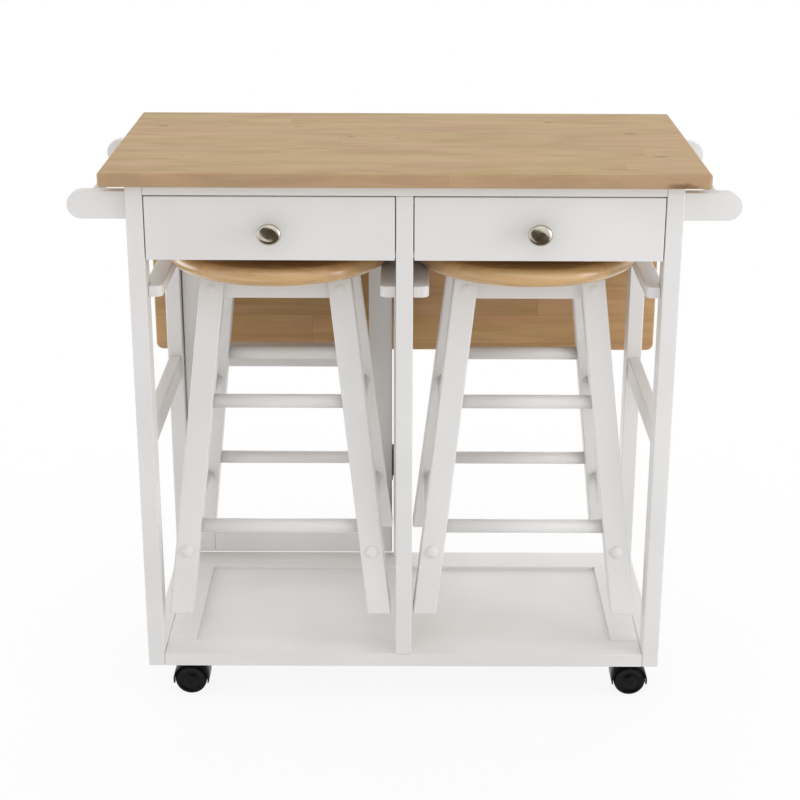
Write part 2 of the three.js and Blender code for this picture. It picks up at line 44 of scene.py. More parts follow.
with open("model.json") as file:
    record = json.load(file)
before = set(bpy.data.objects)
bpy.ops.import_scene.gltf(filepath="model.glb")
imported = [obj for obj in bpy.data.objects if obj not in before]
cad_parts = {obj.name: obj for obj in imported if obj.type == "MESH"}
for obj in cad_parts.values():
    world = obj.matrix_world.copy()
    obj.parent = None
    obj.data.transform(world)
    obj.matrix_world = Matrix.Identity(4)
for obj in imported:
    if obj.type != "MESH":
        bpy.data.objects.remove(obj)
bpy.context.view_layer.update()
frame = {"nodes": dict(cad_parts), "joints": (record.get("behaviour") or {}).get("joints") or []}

SIDES = (("left", -1), ("right", 1))
ENDS = (("front", -1), ("rear", 1))
LEVELS = ("lower", "upper")
QUARTER = math.pi / 2
SHARP = math.radians(40)  # an edge that turns by more than this is eased or kept crisp
SKIRT_DROOP = math.radians(12)  # how far below the axle the skirts of a caster's hood end
# how far the stools' cross rungs are above the feet, as in the frame
CROSS_RUNG_RISES = {"front": (0.136, 0.334), "rear": (0.131, 0.329)}


def linear(hex_value):
    """The linear colour of an sRGB hex value."""
    channels = [int(hex_value[i : i + 2], 16) / 255 for i in (1, 3, 5)]
    return [c / 12.92 if c <= 0.04045 else ((c + 0.055) / 1.055) ** 2.4 for c in channels]


# ---- settings ----------------------------------------------------------------


def length(name, description, default, **limits):
    return FloatProperty(
        name=name, description=description, default=default, subtype="DISTANCE", unit="LENGTH",
        precision=4, **limits,
    )


def colour(name, description, hex_value):
    return FloatVectorProperty(
        name=name, description=description, default=linear(hex_value), subtype="COLOR",
        size=3, min=0, max=1,
    )


class IslandSizes(bpy.types.PropertyGroup):
    """Sizes of the details that the frame leaves out."""

    board_ease: length("Board ease", "Rounding of most painted boards' edges", 0.0015, min=0.0003)
    fine_ease: length("Fine ease", "Rounding of drawer fronts and base boards", 0.0012, min=0.0003)
    leg_ease: length("Leg ease", "Rounding of the stools' legs", 0.0025, min=0.0003)
    worktop_ease: length("Worktop ease", "Rounding of worktop and leaf edges", 0.0025, min=0.0003)
    worktop_corner: length("Worktop corner", "Radius of the worktop's corners", 0.005, min=0.003)
    leaf_corner: length("Leaf corner", "Radius of the leaf's two free corners", 0.012, min=0.003)
    stave_width: length("Stave width", "Width of the glued staves", 0.052, min=0.01)
    stave_length: length("Stave length", "Length of the staves, past the worktop's", 1.6, min=0.1)
    joint_line: length("Joint line", "Width of the glue lines, drawn twice as wide as real", 0.0006)
    dome_radius: length("Dome radius", "Radius of the domed bolt caps on the stools", 0.0095)
    dome_height: length("Dome height", "How far a domed cap stands out", 0.0060)
    plug_radius: length("Plug radius", "Radius of the flat plugs over the seat bolts", 0.0075)
    screw_radius: length("Screw radius", "Radius of a hinge screw's head", 0.0032)
    stool_top_spread: length("Stool top spread", "Over the legs at a seat, as in the frame", 0.224)
    stool_leg: length("Stool leg", "Side of the stool's square legs, as in the frame", 0.036)
    rung_radius: length("Rung radius", "Radius of the stool's rungs, as in the frame", 0.0105)
    round_sides: IntProperty(
        name="Round sides", description="Faces round a dowel or rung", default=48, min=12, max=128,
    )


class IslandColours(bpy.types.PropertyGroup):
    """Colours of the finishes."""

    paint: colour("Paint", "White satin paint", "#EAE8E6")
    paint_shade: colour("Paint shade", "The paint where its film is thicker", "#E4E2DF")
    wood_light: colour("Wood light", "Light staves of the worktop", "#C1A06D")
    wood_dark: colour("Wood dark", "Dark grain of the worktop", "#A98453")
    wood_edge: colour("Wood edge", "Sides of the worktop's staves", "#B99876")
    # the leaf's tones are warmer and lighter than the worktop's: partly its own tone, partly painted
    # warm bounce light for the shade it hangs in
    leaf_light_and_warm_shade: colour("Leaf light", "Light staves of the leaf", "#CBA577")
    leaf_dark_and_warm_shade: colour("Leaf dark", "Dark grain of the leaf", "#B1875B")
    seat_light: colour("Seat light", "Light staves under the seat's lacquer", "#CEA878")
    seat_dark: colour("Seat dark", "Dark grain under the seat's lacquer", "#A97D4E")
    knot: colour("Knot", "Knots in the wood", "#6B4527")
    drawer_wood: colour("Drawer wood", "Plain wood of the drawer boxes", "#D6BB8F")
    nickel: colour("Nickel", "Satin nickel of the knobs", "#CFC9BB")
    bronze: colour("Bronze", "Antique bronze of the hinges", "#8A6B3D")
    zinc: colour("Zinc", "Zinc plated screws and stems", "#B9BCC0")
    nylon: colour("Nylon", "Black nylon of the casters", "#0B0C0C")
    floor: colour("Floor", "Studio floor", "#F4F3F1")
    flag: colour("Flag", "Dark cloth that the knobs mirror", "#5A5141")


def sizes():
    return bpy.context.scene.island_sizes


def colours():
    return bpy.context.scene.island_colours


def joint_place(name):
    """A point on a joint's axis in the frame."""
    return Vector(next(j for j in frame["joints"] if j["name"] == name)["pos_m"])


# ---- materials -----------------------------------------------------------------


def add(tree, kind, inputs=None, **settings):
    """Adds a shader node, with its settings, and its inputs from values or other nodes' outputs."""
    made = tree.nodes.new("ShaderNode" + kind)
    for key, value in settings.items():
        setattr(made, key, value)
    for key, value in (inputs or {}).items():
        if isinstance(value, bpy.types.NodeSocket):
            tree.links.new(value, made.inputs[key])
        else:
            made.inputs[key].default_value = value
    return made


def rgba(values):
    return (*values, 1.0)


def new_material(name):
    """A material with only its shader and output, its object coordinates, and its tree."""
    material = bpy.data.materials.new(name)
    material.use_nodes = True
    tree = material.node_tree
    tree.nodes.clear()
    shader = add(tree, "BsdfPrincipled")
    output = add(tree, "OutputMaterial")
    tree.links.new(shader.outputs["BSDF"], output.inputs["Surface"])
    place = add(tree, "TexCoord").outputs["Object"]
    return material, tree, shader, place


def per_mm(millimetres):
    """The texture scale at which one feature of a noise spans that many millimetres."""
    return 1000.0 / millimetres


def satin_paint(name):
    """Sprayed satin lacquer on sanded rubberwood: even, with a fine orange peel and soft gloss."""
    material, tree, shader, place = new_material(name)
    film = add(tree, "TexNoise", {"Vector": place, "Scale": per_mm(190), "Detail": 2.0})
    tone = add(tree, "MapRange", {"Value": film.outputs["Fac"], "From Min": 0.35, "From Max": 0.65})
    blend = add(tree, "Mix", {
        "Factor": tone.outputs["Result"],
        "A": rgba(colours().paint), "B": rgba(colours().paint_shade),
    }, data_type="RGBA")
    # real orange peel is about 1 mm across; 2.5 mm is the finest that shows
    peel = add(tree, "TexNoise", {"Vector": place, "Scale": per_mm(2.5), "Detail": 2.0})
    bump = add(tree, "Bump", {"Height": peel.outputs["Fac"], "Strength": 0.12, "Distance": 0.0002})
    gloss = add(tree, "MapRange", {
        "Value": film.outputs["Fac"], "To Min": 0.36, "To Max": 0.46,
    })
    tree.links.new(blend.outputs["Result"], shader.inputs["Base Color"])
    tree.links.new(gloss.outputs["Result"], shader.inputs["Roughness"])
    tree.links.new(bump.outputs["Normal"], shader.inputs["Normal"])
    shader.inputs["IOR"].default_value = 1.5
    return material


def knot_mask(tree, place, knots):
    """Dark where a knot is: knots are (x, y, z, radius, stretch along the grain) in metres."""
    wobble = add(tree, "TexNoise", {"Vector": place, "Scale": per_mm(9), "Detail": 2.0})
    ragged_share, outer_share, inner_share = 1.2, 1.9, 0.7  # of a knot's radius
    total = None
    for x, y, z, radius, stretch in knots:
        shifted = add(tree, "VectorMath", {0: place, 1: (x, y, z)}, operation="SUBTRACT")
        pulled = add(tree, "VectorMath", {
            0: shifted.outputs["Vector"], 1: (1 / stretch, 1.0, 1.0),
        }, operation="MULTIPLY")
        reach = add(tree, "VectorMath", {0: pulled.outputs["Vector"]}, operation="LENGTH")
        ragged = add(tree, "Math", {
            0: wobble.outputs["Fac"], 1: radius * ragged_share, 2: reach.outputs["Value"],
        }, operation="MULTIPLY_ADD")
        spot = add(tree, "MapRange", {
            "Value": ragged.outputs["Value"],
            "From Min": radius * outer_share, "From Max": radius * inner_share,
        }, interpolation_type="SMOOTHSTEP").outputs["Result"]
        if total is None:
            total = spot
        else:
            total = add(tree, "Math", {0: total, 1: spot}, operation="MAXIMUM").outputs["Value"]
    return total


def staved_wood(
    name, light, dark, edge, turn=(0, 0, 0), joint_at=0.0, joint_dark=0.12, stave_change=0.05,
    top_light=None, knots=(), coat=0.0, rough=(0.42, 0.56), figure_mm=(280, 20), bend=0.6,
):
    """Edge-glued hardwood staves along X, each with its own tone, flecks, streaks and glue lines.

    A board that hangs is turned about X, and top_light is the light tone of its hidden top."""
    material, tree, shader, place = new_material(name)
    width, long = sizes().stave_width, sizes().stave_length
    rows_ahead = 40  # keeps the rows' numbers above zero
    row_slide = 7.3  # staves by which one row can lie ahead of another
    noise_apart = (9.0, 9.0, 9.0)  # metres of noise by which two staves' patterns can differ
    level = add(tree, "Mapping", {"Vector": place, "Rotation": turn}).outputs["Vector"]
    axes = add(tree, "SeparateXYZ", {"Vector": level})
    rows = add(tree, "Math", {
        0: axes.outputs["Y"], 1: 1 / width, 2: joint_at / width + rows_ahead,
    }, operation="MULTIPLY_ADD")
    row = add(tree, "Math", {0: rows.outputs["Value"]}, operation="FLOOR")
    row_chance = add(tree, "TexWhiteNoise", {"W": row.outputs["Value"]}, noise_dimensions="1D")
    slide = add(tree, "Math", {0: row_chance.outputs["Value"], 1: row_slide}, operation="MULTIPLY")
    runs = add(tree, "Math", {
        0: axes.outputs["X"], 1: 1 / long, 2: slide.outputs["Value"],
    }, operation="MULTIPLY_ADD")
    run = add(tree, "Math", {0: runs.outputs["Value"]}, operation="FLOOR")
    stave = add(tree, "CombineXYZ", {"X": row.outputs["Value"], "Y": run.outputs["Value"]})
    chance = add(tree, "TexWhiteNoise", {"Vector": stave.outputs["Vector"]}, noise_dimensions="2D")
    apart = add(tree, "VectorMath", {
        0: chance.outputs["Color"], 1: noise_apart,
    }, operation="MULTIPLY")
    own = add(tree, "VectorMath", {0: level, 1: apart.outputs["Vector"]}, operation="ADD")

    # cathedral figure, streaks of 1.6 by 70 mm, flecks of 1 by 12 mm, patches of 45 by 240 mm
    patterns = []
    for long_mm, wide_mm, detail, distortion in (
        (*figure_mm, 3.0, bend), (70, 1.6, 3.0, 0.0), (12, 1.0, 1.0, 0.0), (240, 45, 2.0, 0.0),
    ):
        drawn_out = add(tree, "Mapping", {
            "Vector": own.outputs["Vector"],
            "Scale": (per_mm(long_mm), per_mm(wide_mm), per_mm(wide_mm)),
        })
        noise = add(tree, "TexNoise", {
            "Vector": drawn_out.outputs["Vector"],
            "Scale": 1.0, "Detail": detail, "Distortion": distortion,
        })
        patterns.append(noise.outputs["Fac"])
    figure, streak, fleck, patch = patterns
    fleck_mask = add(tree, "MapRange", {
        "Value": fleck, "From Min": 0.64, "From Max": 0.74, "To Max": 0.35,
    })

    figure_share, streak_share, darkest = 0.72, 0.30, 0.75
    grain = add(tree, "Math", {0: figure, 1: figure_share}, operation="MULTIPLY")
    grain = add(tree, "Math", {
        0: streak, 1: streak_share, 2: grain.outputs["Value"],
    }, operation="MULTIPLY_ADD")
    tone = add(tree, "MapRange", {
        "Value": grain.outputs["Value"], "From Min": 0.34, "From Max": 0.70,
    }, interpolation_type="SMOOTHSTEP")
    tone = add(tree, "Math", {
        0: tone.outputs["Result"], 1: darkest, 2: fleck_mask.outputs["Result"],
    }, operation="MULTIPLY_ADD")
    wood = add(tree, "Mix", {
        "Factor": tone.outputs["Value"], "A": rgba(light), "B": rgba(dark),
    }, data_type="RGBA", clamp_factor=True)

    # the patches lean to pink or to olive
    olive = add(tree, "MapRange", {"Value": patch, "From Min": 0.36, "From Max": 0.64})
    leaning = []
    for tint in ((1.035, 0.985, 1.05), (0.965, 1.0, 0.87)):
        tinted = add(tree, "VectorMath", {0: wood.outputs["Result"], 1: tint}, operation="MULTIPLY")
        leaning.append(tinted.outputs["Vector"])
    wood = add(tree, "Mix", {
        "Factor": olive.outputs["Result"], "A": leaning[0], "B": leaning[1],
    }, data_type="RGBA")

    # the staves' sides are pinker than their faces; this normal turns with the board
    normal = add(tree, "SeparateXYZ", {"Vector": place.node.outputs["Normal"]})
    across = normal.outputs["Y" if turn[0] else "Z"]
    facing = add(tree, "Math", {0: across}, operation="ABSOLUTE")
    # a hanging board's hidden top gets top_light's tone; its other faces keep light and dark, which
    # for the leaf include painted warm shade
    if top_light:
        fade = [top / under for top, under in zip(top_light, light)]
        faded = add(tree, "VectorMath", {0: wood.outputs["Result"], 1: fade}, operation="MULTIPLY")
        on_top = add(tree, "MapRange", {"Value": across, "From Min": 0.3, "From Max": 0.8})
        wood = add(tree, "Mix", {
            "Factor": on_top.outputs["Result"],
            "A": wood.outputs["Result"], "B": faded.outputs["Vector"],
        }, data_type="RGBA")
    sideways = add(tree, "MapRange", {
        "Value": facing.outputs["Value"], "From Min": 0.8, "From Max": 0.3, "To Max": 0.85,
    })
    side_light, side_dark = (rgba(Vector(edge) * share) for share in (1.10, 0.86))
    side = add(tree, "Mix", {
        "Factor": tone.outputs["Value"], "A": side_light, "B": side_dark,
    }, data_type="RGBA", clamp_factor=True)
    wood = add(tree, "Mix", {
        "Factor": sideways.outputs["Result"],
        "A": wood.outputs["Result"], "B": side.outputs["Result"],
    }, data_type="RGBA")

    # the staves differ a little in tone, and their glue joints are fine dark lines
    value = add(tree, "MapRange", {
        "Value": chance.outputs["Value"],
        "To Min": 1 - stave_change, "To Max": 1 + stave_change / 2,
    })
    toned = add(tree, "HueSaturation", {
        "Color": wood.outputs["Result"], "Value": value.outputs["Result"],
    })
    half = sizes().joint_line / 2
    lines = []
    for count, size in ((rows, width), (runs, long)):
        share = add(tree, "Math", {0: count.outputs["Value"]}, operation="FRACT")
        off = add(tree, "Math", {0: share.outputs["Value"], 1: 0.5}, operation="SUBTRACT")
        off = add(tree, "Math", {0: off.outputs["Value"]}, operation="ABSOLUTE")
        line = add(tree, "MapRange", {
            "Value": off.outputs["Value"],
            "From Min": 0.5 - 2 * half / size, "From Max": 0.5 - half / size,
        })
        lines.append(line.outputs["Result"])
    joint = add(tree, "Math", {0: lines[0], 1: lines[1]}, operation="MAXIMUM").outputs["Value"]
    faint = add(tree, "Math", {0: joint, 1: joint_dark}, operation="MULTIPLY").outputs["Value"]
    if knots:
        knot_dark = 0.8
        spots = knot_mask(tree, place, knots)
        strong = add(tree, "Math", {0: spots, 1: knot_dark}, operation="MULTIPLY")
        faint = add(tree, "Math", {
            0: faint, 1: strong.outputs["Value"],
        }, operation="MAXIMUM").outputs["Value"]
    final = add(tree, "Mix", {
        "Factor": faint, "A": toned.outputs["Color"], "B": rgba(colours().knot),
    }, data_type="RGBA")
    tree.links.new(final.outputs["Result"], shader.inputs["Base Color"])

    gloss = add(tree, "MapRange", {
        "Value": streak, "From Min": 0.3, "From Max": 0.7, "To Min": rough[0], "To Max": rough[1],
    })
    tree.links.new(gloss.outputs["Result"], shader.inputs["Roughness"])
    groove = -1.5  # how deep a glue line lies against the streaks' height
    relief = add(tree, "Math", {0: joint, 1: groove, 2: streak}, operation="MULTIPLY_ADD")
    bump = add(tree, "Bump", {
        "Height": relief.outputs["Value"], "Strength": 0.12, "Distance": 0.0002,
    })
    tree.links.new(bump.outputs["Normal"], shader.inputs["Normal"])
    shader.inputs["IOR"].default_value = 1.5
    shader.inputs["Coat Weight"].default_value = coat
    shader.inputs["Coat Roughness"].default_value = 0.12
    return material


def worktop_wood(name):
    """Staved maple with a thin satin oil: the grain is open and it shines little."""
    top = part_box("worktop")[1].z
    knots = [
        (-0.386, 0.101, top, 0.0045, 2.2), (-0.171, 0.097, top, 0.0028, 2.6),
        (-0.084, 0.024, top, 0.0030, 2.0), (0.231, 0.137, top, 0.0036, 2.4),
        (0.351, 0.052, top, 0.0050, 2.2), (0.377, -0.108, top, 0.0042, 3.0),
        (-0.285, 0.097, top, 0.0020, 2.0), (-0.060, 0.117, top, 0.0018, 2.2),
        (-0.012, 0.012, top, 0.0020, 2.4), (-0.327, -0.108, top, 0.0022, 2.4),
        (0.395, -0.227, top - 0.017, 0.0060, 5.0),
    ]
    c = colours()
    return staved_wood(
        name, c.wood_light, c.wood_dark, c.wood_edge, knots=knots, figure_mm=(190, 42), bend=1.1,
    )


def leaf_wood(name):
    """The worktop's maple, its staves one above the other while the leaf hangs. All but its hidden
    top take the leaf's warmer, lighter tones: partly the leaf's own tone, partly painted warm bounce
    light for the shade under the worktop.
    """
    c = colours()
    first_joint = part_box("leaf")[0].z + 0.012
    knots = [
        (0.31, 0.2, first_joint + 0.11, 0.005, 2.2), (-0.2, 0.24, first_joint + 0.2, 0.005, 2.4),
    ]
    return staved_wood(
        name, c.leaf_light_and_warm_shade, c.leaf_dark_and_warm_shade, c.leaf_light_and_warm_shade, turn=(-QUARTER, 0, 0),
        joint_at=-(first_joint % sizes().stave_width), joint_dark=0.3, stave_change=0.07,
        top_light=c.wood_light, knots=knots,
    )


def seat_wood(name):
    """The same maple under a clear gloss lacquer, which deepens it and gives sharp highlights."""
    c = colours()
    return staved_wood(
        name, c.seat_light, c.seat_dark, c.seat_light, joint_at=0.011, joint_dark=0.08,
        coat=0.7, rough=(0.24, 0.34),
    )


def bare_poplar(name):
    """Plain sanded poplar without finish: pale, matt, with a soft straight grain on its boards."""
    material, tree, shader, place = new_material(name)
    along = add(tree, "Mapping", {
        "Vector": place, "Scale": (per_mm(160), per_mm(160), per_mm(3.5)),
    })
    grain = add(tree, "TexNoise", {"Vector": along.outputs["Vector"], "Scale": 1.0, "Detail": 4.0})
    tone = add(tree, "MapRange", {"Value": grain.outputs["Fac"], "From Min": 0.3, "From Max": 0.7})
    base = Vector(colours().drawer_wood)
    blend = add(tree, "Mix", {
        "Factor": tone.outputs["Result"], "A": rgba(base), "B": rgba(base * 0.8),
    }, data_type="RGBA")
    bump = add(tree, "Bump", {"Height": grain.outputs["Fac"], "Strength": 0.15, "Distance": 0.0003})
    tree.links.new(blend.outputs["Result"], shader.inputs["Base Color"])
    tree.links.new(bump.outputs["Normal"], shader.inputs["Normal"])
    shader.inputs["Roughness"].default_value = 0.62
    shader.inputs["IOR"].default_value = 1.5
    return material


def metal(name, base, rough, spots_mm, shade, lift):
    """A plated metal that softly changes, by a shade and a lift in roughness, over its spots."""
    material, tree, shader, place = new_material(name)
    spots = add(tree, "TexNoise", {"Vector": place, "Scale": per_mm(spots_mm), "Detail": 3.0})
    base = Vector(base)
    blend = add(tree, "Mix", {
        "Factor": spots.outputs["Fac"], "A": rgba(base * shade), "B": rgba(base),
    }, data_type="RGBA")
    gloss = add(tree, "MapRange", {
        "Value": spots.outputs["Fac"], "To Min": rough, "To Max": rough + lift,
    })
    fine = add(tree, "TexNoise", {"Vector": place, "Scale": per_mm(0.8), "Detail": 1.0})
    bump = add(tree, "Bump", {"Height": fine.outputs["Fac"], "Strength": 0.08, "Distance": 0.0001})
    tree.links.new(blend.outputs["Result"], shader.inputs["Base Color"])
    tree.links.new(gloss.outputs["Result"], shader.inputs["Roughness"])
    tree.links.new(bump.outputs["Normal"], shader.inputs["Normal"])
    shader.inputs["Metallic"].default_value = 1.0
    return material


def spun_nickel(name):
    """Satin nickel plate on a spun knob: marks round its axis draw the lights out into wedges."""
    material = metal(name, colours().nickel, 0.17, 6.0, shade=0.85, lift=0.05)
    tree = material.node_tree
    shader = next(n for n in tree.nodes if n.type == "BSDF_PRINCIPLED")
    shader.inputs["Anisotropic"].default_value = 0.85
    tangent = add(tree, "Tangent", direction_type="RADIAL", axis="Y")
    tree.links.new(tangent.outputs["Tangent"], shader.inputs["Tangent"])
    return material


def rubbed_bronze(name):
    """Antique bronze plate on pressed steel: brown, with rubbed brighter patches."""
    return metal(name, colours().bronze, 0.34, 5.0, shade=0.55, lift=0.2)


def zinc_plate(name):
    """Bright zinc on steel screws and stems: cool grey, lightly frosted."""
    return metal(name, colours().zinc, 0.28, 3.0, shade=0.8, lift=0.15)


def moulded_nylon(name):
    """Moulded black nylon: near black, glossy, with a fine mould texture."""
    material, tree, shader, place = new_material(name)
    grit = add(tree, "TexNoise", {"Vector": place, "Scale": per_mm(1.2), "Detail": 2.0})
    cloud = add(tree, "TexNoise", {"Vector": place, "Scale": per_mm(14), "Detail": 2.0})
    gloss = add(tree, "MapRange", {"Value": cloud.outputs["Fac"], "To Min": 0.18, "To Max": 0.30})
    base = Vector(colours().nylon)
    blend = add(tree, "Mix", {
        "Factor": cloud.outputs["Fac"], "A": rgba(base), "B": rgba(base * 1.6),
    }, data_type="RGBA")
    bump = add(tree, "Bump", {"Height": grit.outputs["Fac"], "Strength": 0.1, "Distance": 0.0002})
    tree.links.new(blend.outputs["Result"], shader.inputs["Base Color"])
    tree.links.new(gloss.outputs["Result"], shader.inputs["Roughness"])
    tree.links.new(bump.outputs["Normal"], shader.inputs["Normal"])
    shader.inputs["IOR"].default_value = 1.53
    shader.inputs["Specular IOR Level"].default_value = 0.12
    return material


# finish -> (how it is made, the record's material slot); no finish bears a slot's name, because the
# frame's own materials do
FINISHES = {
    "satin_paint": (satin_paint, "painted_wood"),
    "worktop_wood": (worktop_wood, "maple"),
    "leaf_wood": (leaf_wood, "maple"),
    "seat_wood": (seat_wood, "seat_maple"),
    "bare_poplar": (bare_poplar, "drawer_wood"),
    "spun_nickel": (spun_nickel, "satin_nickel"),
    "rubbed_bronze": (rubbed_bronze, "antique_bronze"),
    "zinc_plate": (zinc_plate, "satin_nickel"),
    "moulded_nylon": (moulded_nylon, "black_nylon"),
}


def finish_material(finish):
    found = bpy.data.materials.get(finish)
    return found or FINISHES[finish][0](finish)


# ---- mesh helpers ----------------------------------------------------------------


def linked(name, shape, material):
    """Makes the shape an object of that material in the scene."""
    mesh = bpy.data.meshes.new(name)
    shape.to_mesh(mesh)
    shape.free()
    mesh.materials.append(material)
    made = bpy.data.objects.new(name, mesh)
    bpy.context.scene.collection.objects.link(made)
    return made


def piece(name, shape, finish, body, *nodes):
    """Makes the shape an object of that finish on a body. It stands for the named CAD nodes."""
    bmesh.ops.recalc_face_normals(shape, faces=shape.faces[:])
    made = linked(name, shape, finish_material(finish))
    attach(made, body)
    if nodes:
        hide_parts(*nodes)


def ease(shape, edges, radius, segments=3):
    """Rounds edges, and smooths only the new faces so that flat faces stay flat."""
    made = bmesh.ops.bevel(
        shape, geom=list(edges), offset=radius, offset_type="OFFSET", segments=segments,
        profile=0.5, affect="EDGES", clamp_overlap=True, material=-1,
    )
    for face in made["faces"]:
        face.smooth = True


def block(low, high):
    """A square-edged block between two corners."""
    shape = bmesh.new()
    bmesh.ops.create_cube(shape, size=1)
    low, high = Vector(low), Vector(high)
    bmesh.ops.scale(shape, vec=high - low, verts=shape.verts)
    bmesh.ops.translate(shape, vec=(low + high) / 2, verts=shape.verts)
    return shape


def board(low, high, radius=None):
    """A board between two corners with all its edges eased."""
    shape = block(low, high)
    ease(shape, shape.edges, radius or sizes().board_ease)
    return shape


def dowel(start, end, radius, sides=None, round_end=0.0):
    """A round bar between two points."""
    start, end = Vector(start), Vector(end)
    shape = bmesh.new()
    bmesh.ops.create_cone(
        shape, cap_ends=True, segments=sides or sizes().round_sides, radius1=radius, radius2=radius,
        depth=(end - start).length,
    )
    for face in shape.faces:
        face.smooth = len(face.verts) == 4
    if round_end:
        rims = [e for e in shape.edges if len({len(face.verts) for face in e.link_faces}) == 2]
        ease(shape, rims, round_end, 2)
    turn = (end - start).to_track_quat("Z", "Y").to_matrix().to_4x4()
    place = Matrix.Translation((start + end) / 2) @ turn
    bmesh.ops.transform(shape, matrix=place, verts=shape.verts)
    return shape


def runs_along(edge, axis):
    """Whether an edge lies along X, Y or Z, given as 0, 1 or 2."""
    run = (edge.verts[1].co - edge.verts[0].co).normalized()
    return abs(run[axis]) > 0.99


def turned(profile, centre, axis, sides):
    """Spins a profile of (radius, height) pairs about an axis through a point."""
    shape = bmesh.new()
    points = [shape.verts.new((radius, 0, height)) for radius, height in profile]
    edges = [shape.edges.new(pair) for pair in zip(points, points[1:])]
    bmesh.ops.spin(
        shape, geom=points + edges, axis=(0, 0, 1), cent=(0, 0, 0), angle=2 * math.pi,
        steps=sides, use_merge=True,
    )
    bmesh.ops.remove_doubles(shape, verts=shape.verts, dist=1e-6)
    for face in shape.faces:
        face.smooth = True
    turn = Vector(axis).to_track_quat("Z", "Y").to_matrix().to_4x4()
    bmesh.ops.transform(shape, matrix=Matrix.Translation(Vector(centre)) @ turn, verts=shape.verts)
    return shape


def refined(node, radius=None, segments=3, sharp=math.radians(25)):
    """A CAD node's shape with doubles merged, flat faces joined and sharp edges eased."""
    shape = bmesh.new()
    shape.from_mesh(frame["nodes"][node].data)
    bmesh.ops.remove_doubles(shape, verts=shape.verts, dist=2e-5)
    bmesh.ops.dissolve_limit(
        shape, angle_limit=math.radians(1), use_dissolve_boundaries=False,
        verts=shape.verts[:], edges=shape.edges[:],
    )
    for face in shape.faces:
        face.smooth = False
    corners = [e for e in shape.edges if len(e.link_faces) == 2 and e.calc_face_angle(0) > sharp]
    ease(shape, corners, radius or sizes().board_ease, segments)
    return shape


def pressed_plate(node):
    """A CAD hinge's shape with its edges just broken."""
    return refined(node, 0.0003, 2, math.radians(50))


def screw_head(centre, axis):
    """A low domed screw head."""
    r = sizes().screw_radius
    profile = [(0, 0.0009), (r * 0.6, 0.0008), (r, 0.0003), (r, 0), (r * 0.3, 0)]
    return turned(profile, centre, axis, 24)


# ---- stage and camera ------------------------------------------------------------


def set_camera():
    """The photograph's view. Most of its lens shift is given up for a downward pitch."""
    data = bpy.data.cameras.new("camera")
    data.lens = 74.07
    data.sensor_width = 36.0
    data.shift_x = -0.01209
    data.shift_y = -0.10
    data.clip_end = 50.0
    camera = bpy.data.objects.new("camera", data)
    pitch, yaw, roll = 0.32483, 0.00132, 0.00386
    camera.matrix_world = (
        Matrix.Translation((0.0047, -2.487, 1.4097))
        @ Matrix.Rotation(-yaw, 4, "Z")
        @ Matrix.Rotation(QUARTER - pitch, 4, "X")
        @ Matrix.Rotation(roll, 4, "Z")
    )
    bpy.context.scene.collection.objects.link(camera)
    bpy.context.scene.camera = camera


def seen_rays(tree):
    """One where the camera, a mirror or glass looks, and zero where light is gathered."""
    path = add(tree, "LightPath")
    seen = add(tree, "Math", {
        0: path.outputs["Is Camera Ray"], 1: path.outputs["Is Transmission Ray"],
    }, operation="MAXIMUM")
    return add(tree, "Math", {
        0: seen.outputs["Value"], 1: path.outputs["Is Glossy Ray"],
    }, operation="MAXIMUM").outputs["Value"]


def set_floor():
    """A matt floor that keeps a soft shadow under the island and fades to white round it."""
    fade_start, fade_end = 0.45, 1.3  # metres from the island's middle
    material, tree, shader, place = new_material("studio_floor")
    shader.inputs["Base Color"].default_value = rgba(colours().floor)
    shader.inputs["Roughness"].default_value = 0.9
    white = add(tree, "Emission", {"Color": (1, 1, 1, 1), "Strength": 1.0})
    away = add(tree, "VectorMath", {0: place}, operation="LENGTH")
    share = add(tree, "MapRange", {
        "Value": away.outputs["Value"],
        "From Min": fade_start, "From Max": fade_end, "To Min": 0.88,
    }, interpolation_type="SMOOTHSTEP")
    share = add(tree, "Math", {
        0: seen_rays(tree), 1: share.outputs["Result"],
    }, operation="MULTIPLY")
    mixed = add(tree, "MixShader", {
        0: share.outputs["Value"], 1: shader.outputs["BSDF"], 2: white.outputs["Emission"],
    })
    output = next(n for n in tree.nodes if n.type == "OUTPUT_MATERIAL")
    tree.links.new(mixed.outputs["Shader"], output.inputs["Surface"])
    shape = bmesh.new()
    bmesh.ops.create_circle(shape, cap_ends=True, radius=14, segments=64)
    floor = linked("studio_floor", shape, material)


def set_flags():
    """Dark flags seen only by gloss: a slanting one in front gives the knobs their dark streak,
    and two on the floor give them and the seats a dark lower rim."""
    material, _, shader, _ = new_material("dark_flag")
    shader.inputs["Base Color"].default_value = rgba(colours().flag)
    shader.inputs["Roughness"].default_value = 1.0
    shader.inputs["Specular IOR Level"].default_value = 0.0
    upright = Matrix.Rotation(math.radians(38), 3, "Y") @ Matrix.Rotation(QUARTER, 3, "X")
    flat = Matrix.Identity(3)
    for name, wide, high, turn, place in (
        ("front_flag", 1.7, 0.5, upright, (0.05, -1.15, 0.50)),
        ("floor_flag", 1.1, 0.3, flat, (0.0, -0.60, 0.02)),
        ("floor_flag_right", 0.6, 0.2, flat, (0.55, -1.05, 0.02)),
    ):
        shape = bmesh.new()
        bmesh.ops.create_grid(shape, x_segments=1, y_segments=1, size=1.0)
        bmesh.ops.scale(shape, verts=shape.verts, vec=(wide, high, 1))
        bmesh.ops.rotate(shape, verts=shape.verts, cent=(0, 0, 0), matrix=turn)
        bmesh.ops.translate(shape, verts=shape.verts, vec=place)
        flag = linked(name, shape, material)
        for ray in ("camera", "diffuse", "transmission", "volume_scatter", "shadow"):
            setattr(flag, f"visible_{ray}", False)


